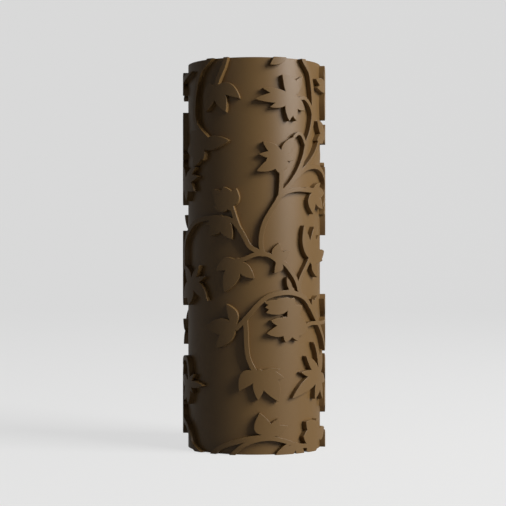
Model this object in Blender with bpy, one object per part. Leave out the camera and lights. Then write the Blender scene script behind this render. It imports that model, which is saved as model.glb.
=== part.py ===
"""Texture roller: a relief sleeve on a drum that turns on a hollow axle.

The roller stands upright on its lower end, its axis along +Z, its front towards -Y, and
the origin at the centre of the lower end. The drum is the texture sleeve, the core tube
that carries it on two grip rings, and an end cap with a plain bush at each end. The axle
is a hollow tube held by a thrust washer and a retaining ring at each end, and a handle
rod passes through its bore.
"""
import math

import bmesh
import bpy
from mathutils import Vector
from mathutils.geometry import delaunay_2d_cdt

MM = 0.001

# Sleeve, over all
SLEEVE_LENGTH = 120.0 * MM
SLEEVE_RADIUS = 22.5 * MM
RELIEF_HEIGHT = 1.7 * MM
SLEEVE_WALL = 2.6 * MM
STEM_WIDTH = 1.5 * MM
LEAF_HEART_RADIUS = 1.2 * MM

# Fits
SEAT_GAP = 0.3 * MM
RUNNING_GAP = 0.3 * MM

# Core tube and its grip rings
CORE_WALL = 2.4 * MM
GRIP_GROOVE_DEPTH = 1.6 * MM
GRIP_GROOVE_WIDTH = 2.4 * MM
GRIP_GROOVE_INSET = 20.0 * MM

# End caps
CAP_RECESS = 1.0 * MM
CAP_FLANGE = 3.0 * MM
CAP_DEPTH = 16.0 * MM
CAP_WALL = 1.4 * MM
CAP_CHAMFER = 0.8 * MM

# Bushes, flange outwards
BUSH_WALL = 1.7 * MM
BUSH_FLANGE_WIDTH = 2.0 * MM
BUSH_FLANGE_THICKNESS = 1.5 * MM
BUSH_LENGTH = 11.0 * MM

# Axle, thrust washers and retaining rings
AXLE_RADIUS = 5.0 * MM
AXLE_WALL = 1.7 * MM
AXLE_RECESS = 1.5 * MM
AXLE_CHAMFER = 0.4 * MM
RING_GROOVE_INSET = 0.9 * MM
RING_GROOVE_DEPTH = 0.8 * MM
RING_THICKNESS = 1.0 * MM
RING_WIDTH = 1.6 * MM
RING_LUG_WIDTH = 1.5 * MM
RING_EYE_RADIUS = 0.5 * MM
WASHER_THICKNESS = 1.0 * MM
WASHER_WIDTH = 3.0 * MM

# Facets round the pieces
SLEEVE_FACETS = 40
DRUM_FACETS = 32
AXLE_FACETS = 24
GRIP_RING_SIDES = 6
RING_FACETS = 16
LUG_FACETS = 3
EYE_FACETS = 6
HEART_SIDES = 6

# Points on the outline of a leaf lobe, one side, and on a stretch of stem
LOBE_STEPS = 3
STEM_STEPS = 1

# The shape of a lobe: where it is fullest and how blunt it is
LOBE_FULLEST_SHARE = 0.8
LOBE_FULLNESS_SHARE = 0.85

# The relief is drawn unrolled. A place on it is a pair: degrees round from the front, to
# the right when positive, and a share of the sleeve's length in 120ths, up from its foot.
LENGTH_SHARES = 120

# Stems that the front shows: the share of the full stem width, then the centre line
STEM_SHARES = [
    (1.0, [(-30.1, 122.1), (-40.5, 118.8), (-47.5, 116.3), (-51.5, 113.2), (-54, 109.5),
           (-55.3, 105.5), (-54.6, 102), (-51.6, 99.6), (-47.1, 97.9), (-42, 96.3), (-36, 94)]),
    (1.0, [(-21, 122.5), (-23.5, 118.5), (-26.8, 115.5), (-30.1, 112.8), (-31.6, 110.8)]),
    (1.0, [(39.4, 122.4), (43.2, 119.3), (46.3, 117.8), (49.8, 116), (51.8, 113.1), (53.4, 109.5),
           (53.9, 106.5), (53.8, 103.5), (52.5, 100.5), (50, 97.5), (47, 95.3), (44.8, 93),
           (43.5, 91), (41.3, 88.8), (38.5, 86.7), (34.5, 84.2), (29.5, 81.8), (24.5, 79.8),
           (21, 78.4), (17.5, 76.1), (13, 73.4), (9, 70.8), (6.4, 68), (5.3, 65.5), (5.3, 63),
           (6.5, 60.5)]),
    (0.8, [(38.9, 107.9), (43.3, 108.1), (47.8, 107), (51.7, 105.1), (53.4, 103.2)]),
    (0.7, [(45, 93.6), (41, 96.6), (37, 97.2), (33.2, 96.2)]),
    (0.9, [(35.9, 84.4), (40, 85.6), (44.4, 86.9), (49.5, 88.6), (54.5, 90.5), (59.3, 92.7),
           (64.1, 95.5)]),
    (1.0, [(35.4, 84), (43, 86.3), (49.9, 87.2), (56.9, 87.5), (64.9, 87.1), (72.8, 85.9),
           (81.5, 83.5), (83.7, 80.4), (76.3, 75.7)]),
    (1.0, [(21.6, 88), (21.6, 84), (21.4, 81.5), (20.8, 78.5)]),
    (0.9, [(20.5, 78), (26, 79.3), (33, 80), (40, 80.2), (50, 80)]),
    (0.9, [(5.5, 60.8), (-2, 62.3), (-6.5, 64.8), (-12.3, 68.8), (-16.3, 73.1), (-18.6, 75.8)]),
    (1.0, [(5.5, 60.9), (-3, 62.6), (-7.5, 65.5), (-11.5, 68.1), (-16, 70.2), (-22, 71.2),
           (-30, 71.5), (-38, 71.4), (-47, 71.1), (-55, 70.2), (-63, 68.2), (-71.2, 65.7),
           (-75.4, 62.9), (-76.2, 59.6), (-75.4, 56.4)]),
    (0.9, [(-12, 58.4), (-6, 59.3), (0, 60.3), (6, 60.6), (12, 60.1), (18, 58.6)]),
    (0.9, [(18, 58.3), (24, 57.8), (29, 55.8), (33.9, 53.3), (37, 50.7), (38.9, 48.6)]),
    (1.0, [(-14, 38.2), (-9, 40), (-4, 42.2), (1.5, 44.7), (6.4, 46.5), (11.9, 47.9), (19.9, 48.7),
           (28, 48.9), (34.9, 48.5), (43.1, 47.3), (49.3, 45), (54.9, 42.4), (59.8, 40.2),
           (66.3, 37.6), (73.9, 34.6), (81.5, 31)]),
    (0.8, [(35.9, 37.8), (43.9, 38.6), (52, 39.3), (59.8, 39.3), (69.8, 39.3), (79.4, 39.5),
           (82.5, 40.3)]),
    (1.0, [(-7, 41), (-6.3, 37), (-6, 33.5), (-5, 30), (-2.5, 27.3), (1, 25)]),
    (0.9, [(37.2, 50), (39, 52.8), (42, 54.8), (46, 57), (51, 60)]),
    (1.0, [(-39, -2), (-30, 1.4), (-22, 2.9), (-13, 4), (-4, 4.9), (6, 5.4), (14, 5.5)]),
    (0.9, [(-22.8, -2), (-16.3, 0.4), (-10.9, 2.3), (-6, 3.4), (1, 4.5), (10, 5), (18, 4.7),
           (27, 3.7), (36, 2.4), (46, 2)]),
    (1.0, [(-64, 22), (-65.3, 24.9), (-67.2, 27), (-71.8, 28.3), (-80.6, 27.8), (-85.3, 26.5)]),
    (1.0, [(-82.3, 10.1), (-78.1, 8.8), (-69.5, 7.6), (-64.7, 5.8), (-61.6, 4), (-58.9, 1.9),
           (-52.7, 0.4), (-44.3, -1.1), (-39.2, -2.8)]),
]

# Leaves that the front shows: the heart, then each lobe's tip, half width and bend,
# the last two as shares of the lobe's own length
LEAF_SHARES = [
    ((-46, 93.2), [(-19.6, 94.8, 0.2, 0.04), (-44.3, 89.2, 0.3, 0), (-57, 87.4, 0.3, 0),
                   (-67, 92.5, 0.32, 0), (-60, 98.5, 0.4, 0), (-43.5, 97, 0.5, 0)]),
    ((-31.3, 111.2), [(-10.9, 107.4, 0.21, 0.11), (-22.5, 103.4, 0.24, 0),
                      (-40.8, 103.8, 0.28, -0.1), (-43.5, 108.8, 0.4, 0)]),
    ((29.9, 108.2), [(0.5, 107.2, 0.14, 0), (6.4, 110.5, 0.12, 0), (12, 104.8, 0.16, 0.07),
                     (28.4, 100.8, 0.24, 0), (34.9, 100.9, 0.2, 0), (43.9, 104.2, 0.26, 0),
                     (22.1, 114.7, 0.34, -0.2), (41, 114.6, 0.22, 0)]),
    ((26, 122), [(12.5, 117.6, 0.25, 0.05)]),
    ((22, 90.3), [(1.8, 85.5, 0.2, 0.06), (3.4, 90.6, 0.16, 0), (6.6, 94.4, 0.22, 0),
                  (8.6, 88.1, 0.36, 0), (33.2, 96.1, 0.24, 0), (32.9, 89, 0.24, 0),
                  (19.1, 85, 0.5, 0)]),
    ((54, 79.7), [(54, 72.8, 0.3, -0.08), (72.2, 74.6, 0.25, 0), (43.9, 80.9, 0.14, -0.05),
                  (77, 79.6, 0.18, 0), (66.3, 82.7, 0.2, 0)]),
    ((-19, 74.9), [(-14, 80.4, 0.34, -0.02), (-24.6, 80.9, 0.4, 0), (-34.2, 80.3, 0.3, 0.06),
                   (-33.8, 75, 0.22, 0.08)]),
    ((-27, 71.2), [(-36.8, 66, 0.36, 0), (-17.4, 65, 0.3, 0), (-42.3, 69.4, 0.12, 0)]),
    ((-13, 58.2), [(-31.5, 55.4, 0.24, -0.1), (-24, 49, 0.25, 0), (0.3, 53.1, 0.25, -0.02)]),
    ((20, 58.6), [(19.8, 63.9, 0.34, 0.14), (15.7, 54.8, 0.34, 0.16), (29, 61.8, 0.26, 0)]),
    ((30.3, 49.4), [(26.1, 53.6, 0.18, 0)]),
    ((-15.1, 38.7), [(-22.2, 45.5, 0.22, -0.1), (-41.6, 38.5, 0.24, 0), (-32, 32.1, 0.22, 0.02)]),
    ((30, 39.4), [(12.6, 40.5, 0.22, 0), (9.4, 36.6, 0.22, 0.08), (25, 33.8, 0.34, 0),
                  (36.8, 34.1, 0.3, 0), (41, 45, 0.36, 0.16), (47.5, 37.4, 0.42, 0),
                  (29, 44.5, 0.25, 0), (22.5, 41.6, 0.28, 0)]),
    ((29, 44.8), [(7.5, 46.1, 0.17, 0), (8.2, 44.5, 0.2, 0), (9, 42.9, 0.21, 0),
                  (17.5, 47, 0.3, 0), (23.5, 47.4, 0.5, 0), (33, 47.3, 0.5, 0)]),
    ((4, 24.8), [(-11.8, 19.2, 0.28, -0.16), (3, 16.5, 0.22, 0), (19.4, 16, 0.26, 0.08),
                 (24, 23.2, 0.2, 0), (20.8, 25.9, 0.12, 0)]),
    ((64, 23), [(54.6, 33.5, 0.1, -0.14), (45.2, 29.4, 0.17, 0), (39.2, 24.6, 0.13, 0),
                (31, 16.8, 0.14, -0.06), (56.5, 16, 0.24, 0.06), (71.9, 15.4, 0.16, 0),
                (80, 21, 0.24, 0), (70, 31, 0.2, 0)]),
    ((61, 4), [(45, 9.4, 0.36, -0.05), (42, 5, 0.5, 0), (45.5, 0.4, 0.4, 0), (59.3, 9.9, 0.3, 0),
               (77, 6.5, 0.3, 0)]),
    ((13, 6.2), [(4.3, 12.8, 0.36, 0.16), (19.5, 10.9, 0.3, 0), (27, 8.6, 0.26, 0)]),
    ((23, -4.5), [(27, 3.3, 0.42, 0)]),
    ((34.2, 2.3), [(24.3, -0.4, 0.3, 0), (43.3, -1, 0.3, 0)]),
    ((-66, 20.6), [(-44.3, 20.3, 0.13, 0), (-55.7, 23.6, 0.16, 0), (-57.3, 17.8, 0.16, 0),
                   (-65.8, 14.1, 0.26, 0), (-76, 15, 0.26, 0), (-84, 22, 0.26, 0)]),
    ((-60, 51.5), [(-48.6, 57.1, 0.16, 0), (-42, 53.7, 0.13, 0), (-39.7, 46.4, 0.2, 0.1),
                   (-65, 44.8, 0.34, 0), (-80, 47, 0.24, 0), (-73, 57, 0.26, 0)]),
    ((-72, 83.6), [(-49.8, 84.3, 0.14, 0), (-53, 87.3, 0.14, 0), (-56, 80, 0.26, 0),
                   (-70, 77, 0.3, 0), (-88, 80, 0.24, 0), (-84, 88, 0.26, 0)]),
    ((52.6, 58.5), [(42.8, 69.3, 0.17, 0.06), (55.5, 69, 0.17, 0), (64.1, 66.5, 0.2, 0),
                    (77, 61.5, 0.2, 0), (60, 53.4, 0.24, 0)]),
    ((56.8, 43.8), [(52.6, 46.8, 0.35, 0), (60.2, 47.8, 0.3, 0)]),
]

# Leaves along the two sides, where the front's pattern meets the back's
SIDE_LEAF_SHARES = [
    ((85, 112.5), [(58, 114.5, 0.15, 0), (60, 111.9, 0.14, 0), (82, 102.5, 0.22, 0),
                   (80, 119.6, 0.3, 0), (104, 116, 0.24, 0), (103, 108, 0.24, 0)]),
    ((77, 97.4), [(60.5, 101.6, 0.26, 0), (60, 95.6, 0.26, 0), (90, 101.5, 0.24, 0),
                  (92, 95.5, 0.24, 0)]),
    ((93, 76.5), [(82, 88, 0.2, 0), (76, 73, 0.2, 0), (88, 66.5, 0.22, 0), (106, 70, 0.22, 0)]),
    ((91, 21), [(80, 29.5, 0.22, 0), (78, 13, 0.22, 0), (92, 10.6, 0.22, 0), (106, 15, 0.2, 0)]),
    ((92, 41.5), [(78, 46.6, 0.22, 0), (90, 48, 0.3, 0), (90, 31, 0.2, 0), (104, 45, 0.22, 0)]),
    ((90, -2), [(82, 5.5, 0.24, 0), (100, 5, 0.24, 0)]),
    ((-90, 13.5), [(-79, 5.5, 0.22, 0), (-90, 4, 0.26, 0), (-92, 25.6, 0.2, 0),
                   (-105, 12, 0.2, 0)]),
    ((-92, 55), [(-81, 49, 0.24, 0), (-92, 44.4, 0.24, 0), (-90, 68, 0.2, 0), (-105, 53, 0.2, 0)]),
    ((-92, 91), [(-82, 98.5, 0.22, 0), (-90, 105.3, 0.2, 0), (-80, 92, 0.26, 0),
                 (-90, 76, 0.18, 0), (-106, 86, 0.2, 0)]),
    ((-91, 114.2), [(-57.5, 116.9, 0.06, 0), (-84, 110.4, 0.3, 0), (-92, 118, 0.4, 0),
                    (-105, 112, 0.24, 0)]),
]

# As shares of a stem's width: the closest points that the relief keeps apart, the reach
# within which its border is drawn onto the seam at the back, and the radius of the web that
# joins two raised areas where they would only touch
MERGE_SHARE = 0.02
SEAM_REACH_SHARE = 0.08
WEB_RADIUS_SHARE = 0.1

# Rounds in which such webs are added
WEB_ROUNDS = 4


def sleeve_bore_radius():
    """Radius of the sleeve's bore: what the relief and the wall leave."""
    return SLEEVE_RADIUS - RELIEF_HEIGHT - SLEEVE_WALL


def core_radius():
    """Outer radius of the core tube, which the end caps' flanges share."""
    return sleeve_bore_radius() - SEAT_GAP


def core_bore_radius():
    """Inner radius of the core tube, where the caps' spigots go in."""
    return core_radius() - CORE_WALL


def axle_bore_radius():
    """Bore of the axle, for the handle's rod."""
    return AXLE_RADIUS - AXLE_WALL


def bush_bore_radius():
    """Bore in which the axle turns, shared by bushes and thrust washers."""
    return AXLE_RADIUS + RUNNING_GAP


def bush_radius():
    """Outer radius of a bush's barrel."""
    return bush_bore_radius() + BUSH_WALL


def ring_outer_face():
    """Distance of a retaining ring's outer face from the roller's end."""
    return AXLE_RECESS + RING_GROOVE_INSET + SEAT_GAP


def washer_outer_face():
    """Distance of a thrust washer's outer face from the roller's end."""
    return ring_outer_face() + RING_THICKNESS + SEAT_GAP


def bush_outer_face():
    """Distance of a bush's outer face from the roller's end."""
    return washer_outer_face() + WASHER_THICKNESS + RUNNING_GAP


def finish(name, colour, roughness, metallic=0.0):
    """A plain surface: its name, colour, roughness and metallic value."""
    material = bpy.data.materials.new(name)
    material.use_nodes = True
    shader = material.node_tree.nodes["Principled BSDF"]
    shader.inputs["Base Color"].default_value = (*colour, 1.0)
    shader.inputs["Roughness"].default_value = roughness
    shader.inputs["Metallic"].default_value = metallic
    material.diffuse_color = (*colour, 1.0)
    return material


def link_piece(name, bm, material, flat_angle=30):
    """Turn a closed bmesh into a named object, round faces shaded smooth."""
    bmesh.ops.recalc_face_normals(bm, faces=bm.faces)
    mesh = bpy.data.meshes.new(name)
    bm.to_mesh(mesh)
    bm.free()
    mesh.shade_smooth()
    mesh.set_sharp_from_angle(angle=math.radians(flat_angle))
    mesh.materials.append(material)
    piece = bpy.data.objects.new(name, mesh)
    bpy.context.collection.objects.link(piece)
    return piece


def turned(name, profile, facets, material, parent):
    """A turned piece: a closed profile of (radius, height) points spun round the axis."""
    bm = bmesh.new()
    corners = [bm.verts.new((radius, 0, height)) for radius, height in profile]
    for corner, after in zip(corners, corners[1:] + corners[:1]):
        bm.edges.new((corner, after))
    bmesh.ops.spin(bm, geom=bm.verts[:] + bm.edges[:], cent=(0, 0, 0), axis=(0, 0, 1),
                   angle=math.tau, steps=facets, use_merge=True)
    piece = link_piece(name, bm, material)
    piece.parent = parent
    return piece


def at_both_ends(profile, lower):
    """A profile measured inwards from an end face, placed at the lower or upper end."""
    if lower:
        return profile
    return [(radius, SLEEVE_LENGTH - inset) for radius, inset in profile]


def half_round():
    """Half the unrolled sheet's width: the seam's distance from the front."""
    return math.pi * SLEEVE_RADIUS


def unrolled(place):
    """A place of the relief tables as distances round and up the sleeve's surface."""
    degrees, length_share = place
    return Vector((math.radians(degrees) * SLEEVE_RADIUS,
                   length_share / LENGTH_SHARES * SLEEVE_LENGTH))


def lobe_outline(heart, lobe):
    """A leaf lobe: pointed at both ends, fullest near its heart, bent to one side."""
    start = unrolled(heart)
    tip = unrolled(lobe[:2])
    half_width_share, bend_share = lobe[2:]
    along = tip - start
    across = Vector((-along.y, along.x))
    sides = {1: [], -1: []}
    for step in range(1, LOBE_STEPS):
        share = step / LOBE_STEPS
        middle = start + along * share + across * (4 * bend_share * share * (1 - share))
        fullness = math.sin(math.pi * share ** LOBE_FULLEST_SHARE) ** LOBE_FULLNESS_SHARE
        for side, points in sides.items():
            points.append(middle + across * (side * half_width_share * fullness))
    return [start] + sides[1] + [tip] + sides[-1][::-1]


def round_outline(middle, radius):
    """A small round spot: the middle of a leaf, or a web between two raised areas."""
    turns = [math.tau * side / HEART_SIDES for side in range(HEART_SIDES)]
    return [middle + radius * Vector((math.cos(turn), math.sin(turn))) for turn in turns]


def smooth_line(places):
    """A stem's centre line: a smooth curve through its places."""
    knots = [unrolled(place) for place in places]
    padded = [knots[0]] + knots + [knots[-1]]
    line = []
    for before, start, end, after in zip(padded, padded[1:], padded[2:], padded[3:]):
        for step in range(STEM_STEPS):
            t = step / STEM_STEPS
            line.append(0.5 * (2 * start + (end - before) * t
                               + (2 * before - 5 * start + 4 * end - after) * t ** 2
                               + (3 * start - before - 3 * end + after) * t ** 3))
    return line + [knots[-1]]


def stem_outline(width_share, places):
    """A stem: a ribbon of even width along its centre line."""
    line = smooth_line(places)
    left, right = [], []
    for before, point, after in zip(line[:1] + line, line, line[1:] + line[-1:]):
        along = (after - before).normalized()
        across = Vector((-along.y, along.x)) * (width_share * STEM_WIDTH / 2)
        left.append(point + across)
        right.append(point - across)
    return left + right[::-1]


def half_turned(place):
    """The place that the front's pattern takes at the back: turned half round and over."""
    return (180 - place[0], LENGTH_SHARES - place[1])


def relief_outlines():
    """Outlines of all stems and lobes: the front, the sides, and the front's half turn."""
    stems = list(STEM_SHARES)
    leaves = LEAF_SHARES + SIDE_LEAF_SHARES
    for width_share, places in STEM_SHARES:
        stems.append((width_share, [half_turned(place) for place in places]))
    for heart, lobes in LEAF_SHARES:
        turned_lobes = [half_turned(lobe[:2]) + lobe[2:] for lobe in lobes]
        leaves.append((half_turned(heart), turned_lobes))
    outlines = [stem_outline(width_share, places) for width_share, places in stems]
    for heart, lobes in leaves:
        outlines.append(round_outline(unrolled(heart), LEAF_HEART_RADIUS))
        outlines += [lobe_outline(heart, lobe) for lobe in lobes]
    return outlines


def round_the_seam(outlines):
    """Every outline that lies in the unrolled sheet, repeated where it crosses the seam."""
    turn = Vector((2 * half_round(), 0))
    repeated = []
    for outline in outlines:
        for shift in (-turn, Vector((0, 0)), turn):
            moved = [point + shift for point in outline]
            left = min(point.x for point in moved)
            right = max(point.x for point in moved)
            if right > -half_round() and left < half_round():
                repeated.append(moved)
    return repeated


def triangulate(loops, merge):
    """A flat triangulation that holds every edge of the given loops."""
    points, edges = [], []
    for loop in loops:
        first = len(points)
        points += loop
        edges += [(first + i, first + (i + 1) % len(loop)) for i in range(len(loop))]
    found = delaunay_2d_cdt(points, edges, [], 0, merge)
    return found[0], found[2]


def inside(point, outline):
    """True where a point lies within a closed outline."""
    crossings = 0
    for start, end in zip(outline, outline[1:] + outline[:1]):
        if (start.y > point.y) != (end.y > point.y):
            reach = start.x + (point.y - start.y) / (end.y - start.y) * (end.x - start.x)
            crossings += reach > point.x
    return crossings % 2 == 1


class Relief:
    """The raised areas of the unrolled sheet."""

    def __init__(self, outlines):
        self.areas = []
        for outline in outlines:
            across = [point.x for point in outline]
            up = [point.y for point in outline]
            self.areas.append((outline, min(across), max(across), min(up), max(up)))

    def covers(self, point):
        """True where a point of the sheet is raised."""
        for outline, left, right, low, high in self.areas:
            if left <= point.x <= right and low <= point.y <= high and inside(point, outline):
                return True
        return False


def middle_of(points, face):
    """The middle of a flat face."""
    return sum((points[corner] for corner in face), Vector((0, 0))) / len(face)


def drawn_to_seam(point):
    """A point of the border, moved onto the seam where it nearly touches it.

    Both edges of the sheet then meet the border at the same heights.
    """
    if abs(abs(point.x) - half_round()) < SEAM_REACH_SHARE * STEM_WIDTH:
        return Vector((math.copysign(half_round(), point.x), point.y))
    return point


def relief_border(relief, outlines, merge):
    """The border of the raised areas as pairs of points, with all overlaps united."""
    points, faces = triangulate(outlines, merge)
    raised = {}
    for face in faces:
        state = relief.covers(middle_of(points, face))
        for start, end in zip(face, face[1:] + face[:1]):
            raised.setdefault(frozenset((start, end)), []).append(state)
    border = []
    for edge, states in raised.items():
        if any(states) and not (all(states) and len(states) == 2):
            border.append([drawn_to_seam(points[corner]) for corner in sorted(edge)])
    return border


def sheet_lines():
    """The sheet's own lines: its frame and the folds between the sleeve's facets."""
    half = half_round()
    low, high = 0.0, SLEEVE_LENGTH
    lines = [[Vector((-half, low)), Vector((half, low))],
             [Vector((-half, high)), Vector((half, high))]]
    for facet in range(SLEEVE_FACETS + 1):
        x = half * (2 * facet / SLEEVE_FACETS - 1)
        lines.append([Vector((x, low)), Vector((x, high))])
    return lines


def on_sleeve(point, radius):
    """A point of the unrolled sheet at a radius on the round sleeve."""
    angle = point.x / SLEEVE_RADIUS
    return Vector((radius * math.sin(angle), -radius * math.cos(angle), point.y))


def seam_twins(points, merge):
    """The point on the sheet's left edge that each point on its right edge meets."""
    left = [index for index, point in enumerate(points) if abs(point.x + half_round()) < merge]
    twins = {}
    for index, point in enumerate(points):
        if abs(point.x - half_round()) < merge:
            twins[index] = min(left, key=lambda other: abs(points[other].y - point.y))
    return twins


def relief_sheet(outlines):
    """The unrolled sheet in triangles: its points, and each triangle with its state.

    The state is True where the triangle is raised. The seam's points are one and the same
    for both edges of the sheet.
    """
    merge = MERGE_SHARE * STEM_WIDTH
    relief = Relief(outlines)
    border = relief_border(relief, outlines, merge)
    points, faces = triangulate(border + sheet_lines(), merge)
    twins = seam_twins(points, merge)
    sheet = []
    for face in faces:
        middle = middle_of(points, face)
        if abs(middle.x) < half_round() and 0 < middle.y < SLEEVE_LENGTH:
            sheet.append(([twins.get(index, index) for index in face], relief.covers(middle)))
    return points, sheet


def wall_edges(sheet):
    """The edges between a raised triangle and a low one, where the relief has its walls."""
    states = {}
    for face, raised in sheet:
        for start, end in zip(face, face[1:] + face[:1]):
            states.setdefault((min(start, end), max(start, end)), set()).add(raised)
    return [edge for edge, found in states.items() if len(found) > 1]


def touching_places(points, walls):
    """The places where two raised areas only touch, so that four walls would meet."""
    meetings = {}
    for edge in walls:
        for index in edge:
            meetings[index] = meetings.get(index, 0) + 1
    return [points[index] for index, count in meetings.items() if count > 2]


def webbed_sheet():
    """The unrolled sheet and its wall edges, with a web wherever raised areas only touch."""
    outlines = round_the_seam(relief_outlines())
    for _ in range(WEB_ROUNDS):
        points, sheet = relief_sheet(outlines)
        walls = wall_edges(sheet)
        webs = [round_outline(place, WEB_RADIUS_SHARE * STEM_WIDTH)
                for place in touching_places(points, walls)]
        if not webs:
            break
        outlines += round_the_seam(webs)
    return points, sheet, walls


def sleeve_skin(bm):
    """The sleeve's outer surface: ground, raised areas and the walls between them."""
    points, sheet, walls = webbed_sheet()
    radii = {False: SLEEVE_RADIUS - RELIEF_HEIGHT, True: SLEEVE_RADIUS}
    corners = {}

    def corner(index, raised):
        if (index, raised) not in corners:
            corners[index, raised] = bm.verts.new(on_sleeve(points[index], radii[raised]))
        return corners[index, raised]

    for face, raised in sheet:
        bm.faces.new([corner(index, raised) for index in face])
    for start, end in walls:
        bm.faces.new([corner(start, False), corner(end, False),
                      corner(end, True), corner(start, True)])


def close_end(bm, height, merge):
    """Close one end of the sleeve: the flat ring between its skin and its bore."""
    bore = sleeve_bore_radius()
    rim = [edge for edge in bm.edges
           if edge.is_boundary and all(abs(v.co.z - height) < merge for v in edge.verts)]
    outer = {}
    for edge in rim:
        for start, end in (edge.verts, reversed(edge.verts)):
            outer.setdefault(start, []).append(end)
    start = rim[0].verts[0]
    loop = [start, outer[start][0]]
    while loop[-1] is not start:
        loop.append(next(v for v in outer[loop[-1]] if v is not loop[-2]))
    loop.pop()
    flat_loop = [v.co.xy for v in loop]
    flat_bore = [Vector((bore * math.sin(turn), -bore * math.cos(turn)))
                 for turn in (math.tau * facet / SLEEVE_FACETS for facet in range(SLEEVE_FACETS))]
    points, faces = triangulate([flat_loop, flat_bore], 0.0)
    bore_corners = [bm.verts.new((*point, height)) for point in flat_bore]
    corners = (loop + bore_corners)[:len(points)]
    for face in faces:
        middle = middle_of(points, face)
        if inside(middle, flat_loop) and not inside(middle, flat_bore):
            bm.faces.new([corners[index] for index in face])
    return bore_corners


def texture_sleeve(material, parent):
    """The sleeve: a plain tube whose outside carries the vine and leaf relief."""
    bm = bmesh.new()
    sleeve_skin(bm)
    merge = MERGE_SHARE * STEM_WIDTH
    foot = close_end(bm, 0.0, merge)
    head = close_end(bm, SLEEVE_LENGTH, merge)
    for facet in range(SLEEVE_FACETS):
        after = (facet + 1) % SLEEVE_FACETS
        bm.faces.new([foot[facet], foot[after], head[after], head[facet]])
    bmesh.ops.triangulate(bm, faces=bm.faces)
    piece = link_piece("texture_sleeve", bm, material)
    piece.parent = parent


def core_tube(material, parent):
    """The core tube between the end caps' flanges, grooved for the two grip rings."""
    outer = core_radius()
    bore = core_bore_radius()
    foot = CAP_RECESS + CAP_FLANGE + SEAT_GAP
    groove_floor = outer - GRIP_GROOVE_DEPTH
    lower_groove = [(outer, GRIP_GROOVE_INSET), (groove_floor, GRIP_GROOVE_INSET),
                    (groove_floor, GRIP_GROOVE_INSET + GRIP_GROOVE_WIDTH),
                    (outer, GRIP_GROOVE_INSET + GRIP_GROOVE_WIDTH)]
    upper_groove = at_both_ends(lower_groove, False)[::-1]
    profile = [(bore, foot), (outer, foot)] + lower_groove + upper_groove
    profile += [(outer, SLEEVE_LENGTH - foot), (bore, SLEEVE_LENGTH - foot)]
    turned("core_tube", profile, DRUM_FACETS, material, parent)


def grip_ring(name, lower, material, parent):
    """A rubber ring in a groove of the core tube that grips the sleeve's bore."""
    floor = core_radius() - GRIP_GROOVE_DEPTH
    thickness = sleeve_bore_radius() - floor - 2 * SEAT_GAP
    middle_radius = floor + SEAT_GAP + thickness / 2
    middle_inset = GRIP_GROOVE_INSET + GRIP_GROOVE_WIDTH / 2
    profile = []
    for side in range(GRIP_RING_SIDES):
        turn = math.tau * side / GRIP_RING_SIDES
        profile.append((middle_radius + thickness / 2 * math.cos(turn),
                        middle_inset + thickness / 2 * math.sin(turn)))
    turned(name, at_both_ends(profile, lower), DRUM_FACETS, material, parent)


def end_cap(name, lower, material, parent):
    """An end cap: a flange over the core's end, a spigot inside it, and the bush's boss."""
    flange_radius = core_radius()
    spigot_radius = core_bore_radius() - SEAT_GAP
    well_radius = bush_radius() + BUSH_FLANGE_WIDTH + SEAT_GAP
    seat_radius = bush_radius() + SEAT_GAP
    face = CAP_RECESS
    shoulder = CAP_RECESS + CAP_FLANGE
    well_floor = bush_outer_face() + BUSH_FLANGE_THICKNESS + SEAT_GAP
    web_back = well_floor + CAP_WALL
    boss_end = bush_outer_face() + BUSH_LENGTH - SEAT_GAP
    profile = [(well_radius, face), (flange_radius - CAP_CHAMFER, face),
               (flange_radius, face + CAP_CHAMFER), (flange_radius, shoulder),
               (spigot_radius, shoulder), (spigot_radius, CAP_DEPTH),
               (spigot_radius - CAP_WALL, CAP_DEPTH), (spigot_radius - CAP_WALL, web_back),
               (seat_radius + CAP_WALL, web_back), (seat_radius + CAP_WALL, boss_end),
               (seat_radius, boss_end), (seat_radius, well_floor), (well_radius, well_floor)]
    turned(name, at_both_ends(profile, lower), DRUM_FACETS, material, parent)


def bush(name, lower, material, parent):
    """A flanged plain bush, its flange in the cap's well, in which the axle turns."""
    face = bush_outer_face()
    flange_radius = bush_radius() + BUSH_FLANGE_WIDTH
    profile = [(bush_bore_radius(), face), (flange_radius, face),
               (flange_radius, face + BUSH_FLANGE_THICKNESS),
               (bush_radius(), face + BUSH_FLANGE_THICKNESS),
               (bush_radius(), face + BUSH_LENGTH), (bush_bore_radius(), face + BUSH_LENGTH)]
    turned(name, at_both_ends(profile, lower), AXLE_FACETS, material, parent)


def axle_tube(material, parent):
    """The hollow axle, with a groove near each end for its retaining ring."""
    foot = AXLE_RECESS
    groove_floor = AXLE_RADIUS - RING_GROOVE_DEPTH
    groove_face = foot + RING_GROOVE_INSET
    groove_back = ring_outer_face() + RING_THICKNESS + SEAT_GAP
    lower_end = [(axle_bore_radius(), foot), (AXLE_RADIUS - AXLE_CHAMFER, foot),
                 (AXLE_RADIUS, foot + AXLE_CHAMFER), (AXLE_RADIUS, groove_face),
                 (groove_floor, groove_face), (groove_floor, groove_back),
                 (AXLE_RADIUS, groove_back)]
    profile = lower_end + at_both_ends(lower_end, False)[::-1]
    turned("axle_tube", profile, AXLE_FACETS, material, parent)


def thrust_washer(name, lower, material, parent):
    """A flat washer between a bush's flange and the retaining ring."""
    face = washer_outer_face()
    back = face + WASHER_THICKNESS
    bore = bush_bore_radius()
    profile = [(bore, face), (bore + WASHER_WIDTH, face), (bore + WASHER_WIDTH, back),
               (bore, back)]
    turned(name, at_both_ends(profile, lower), AXLE_FACETS, material, parent)


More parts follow.
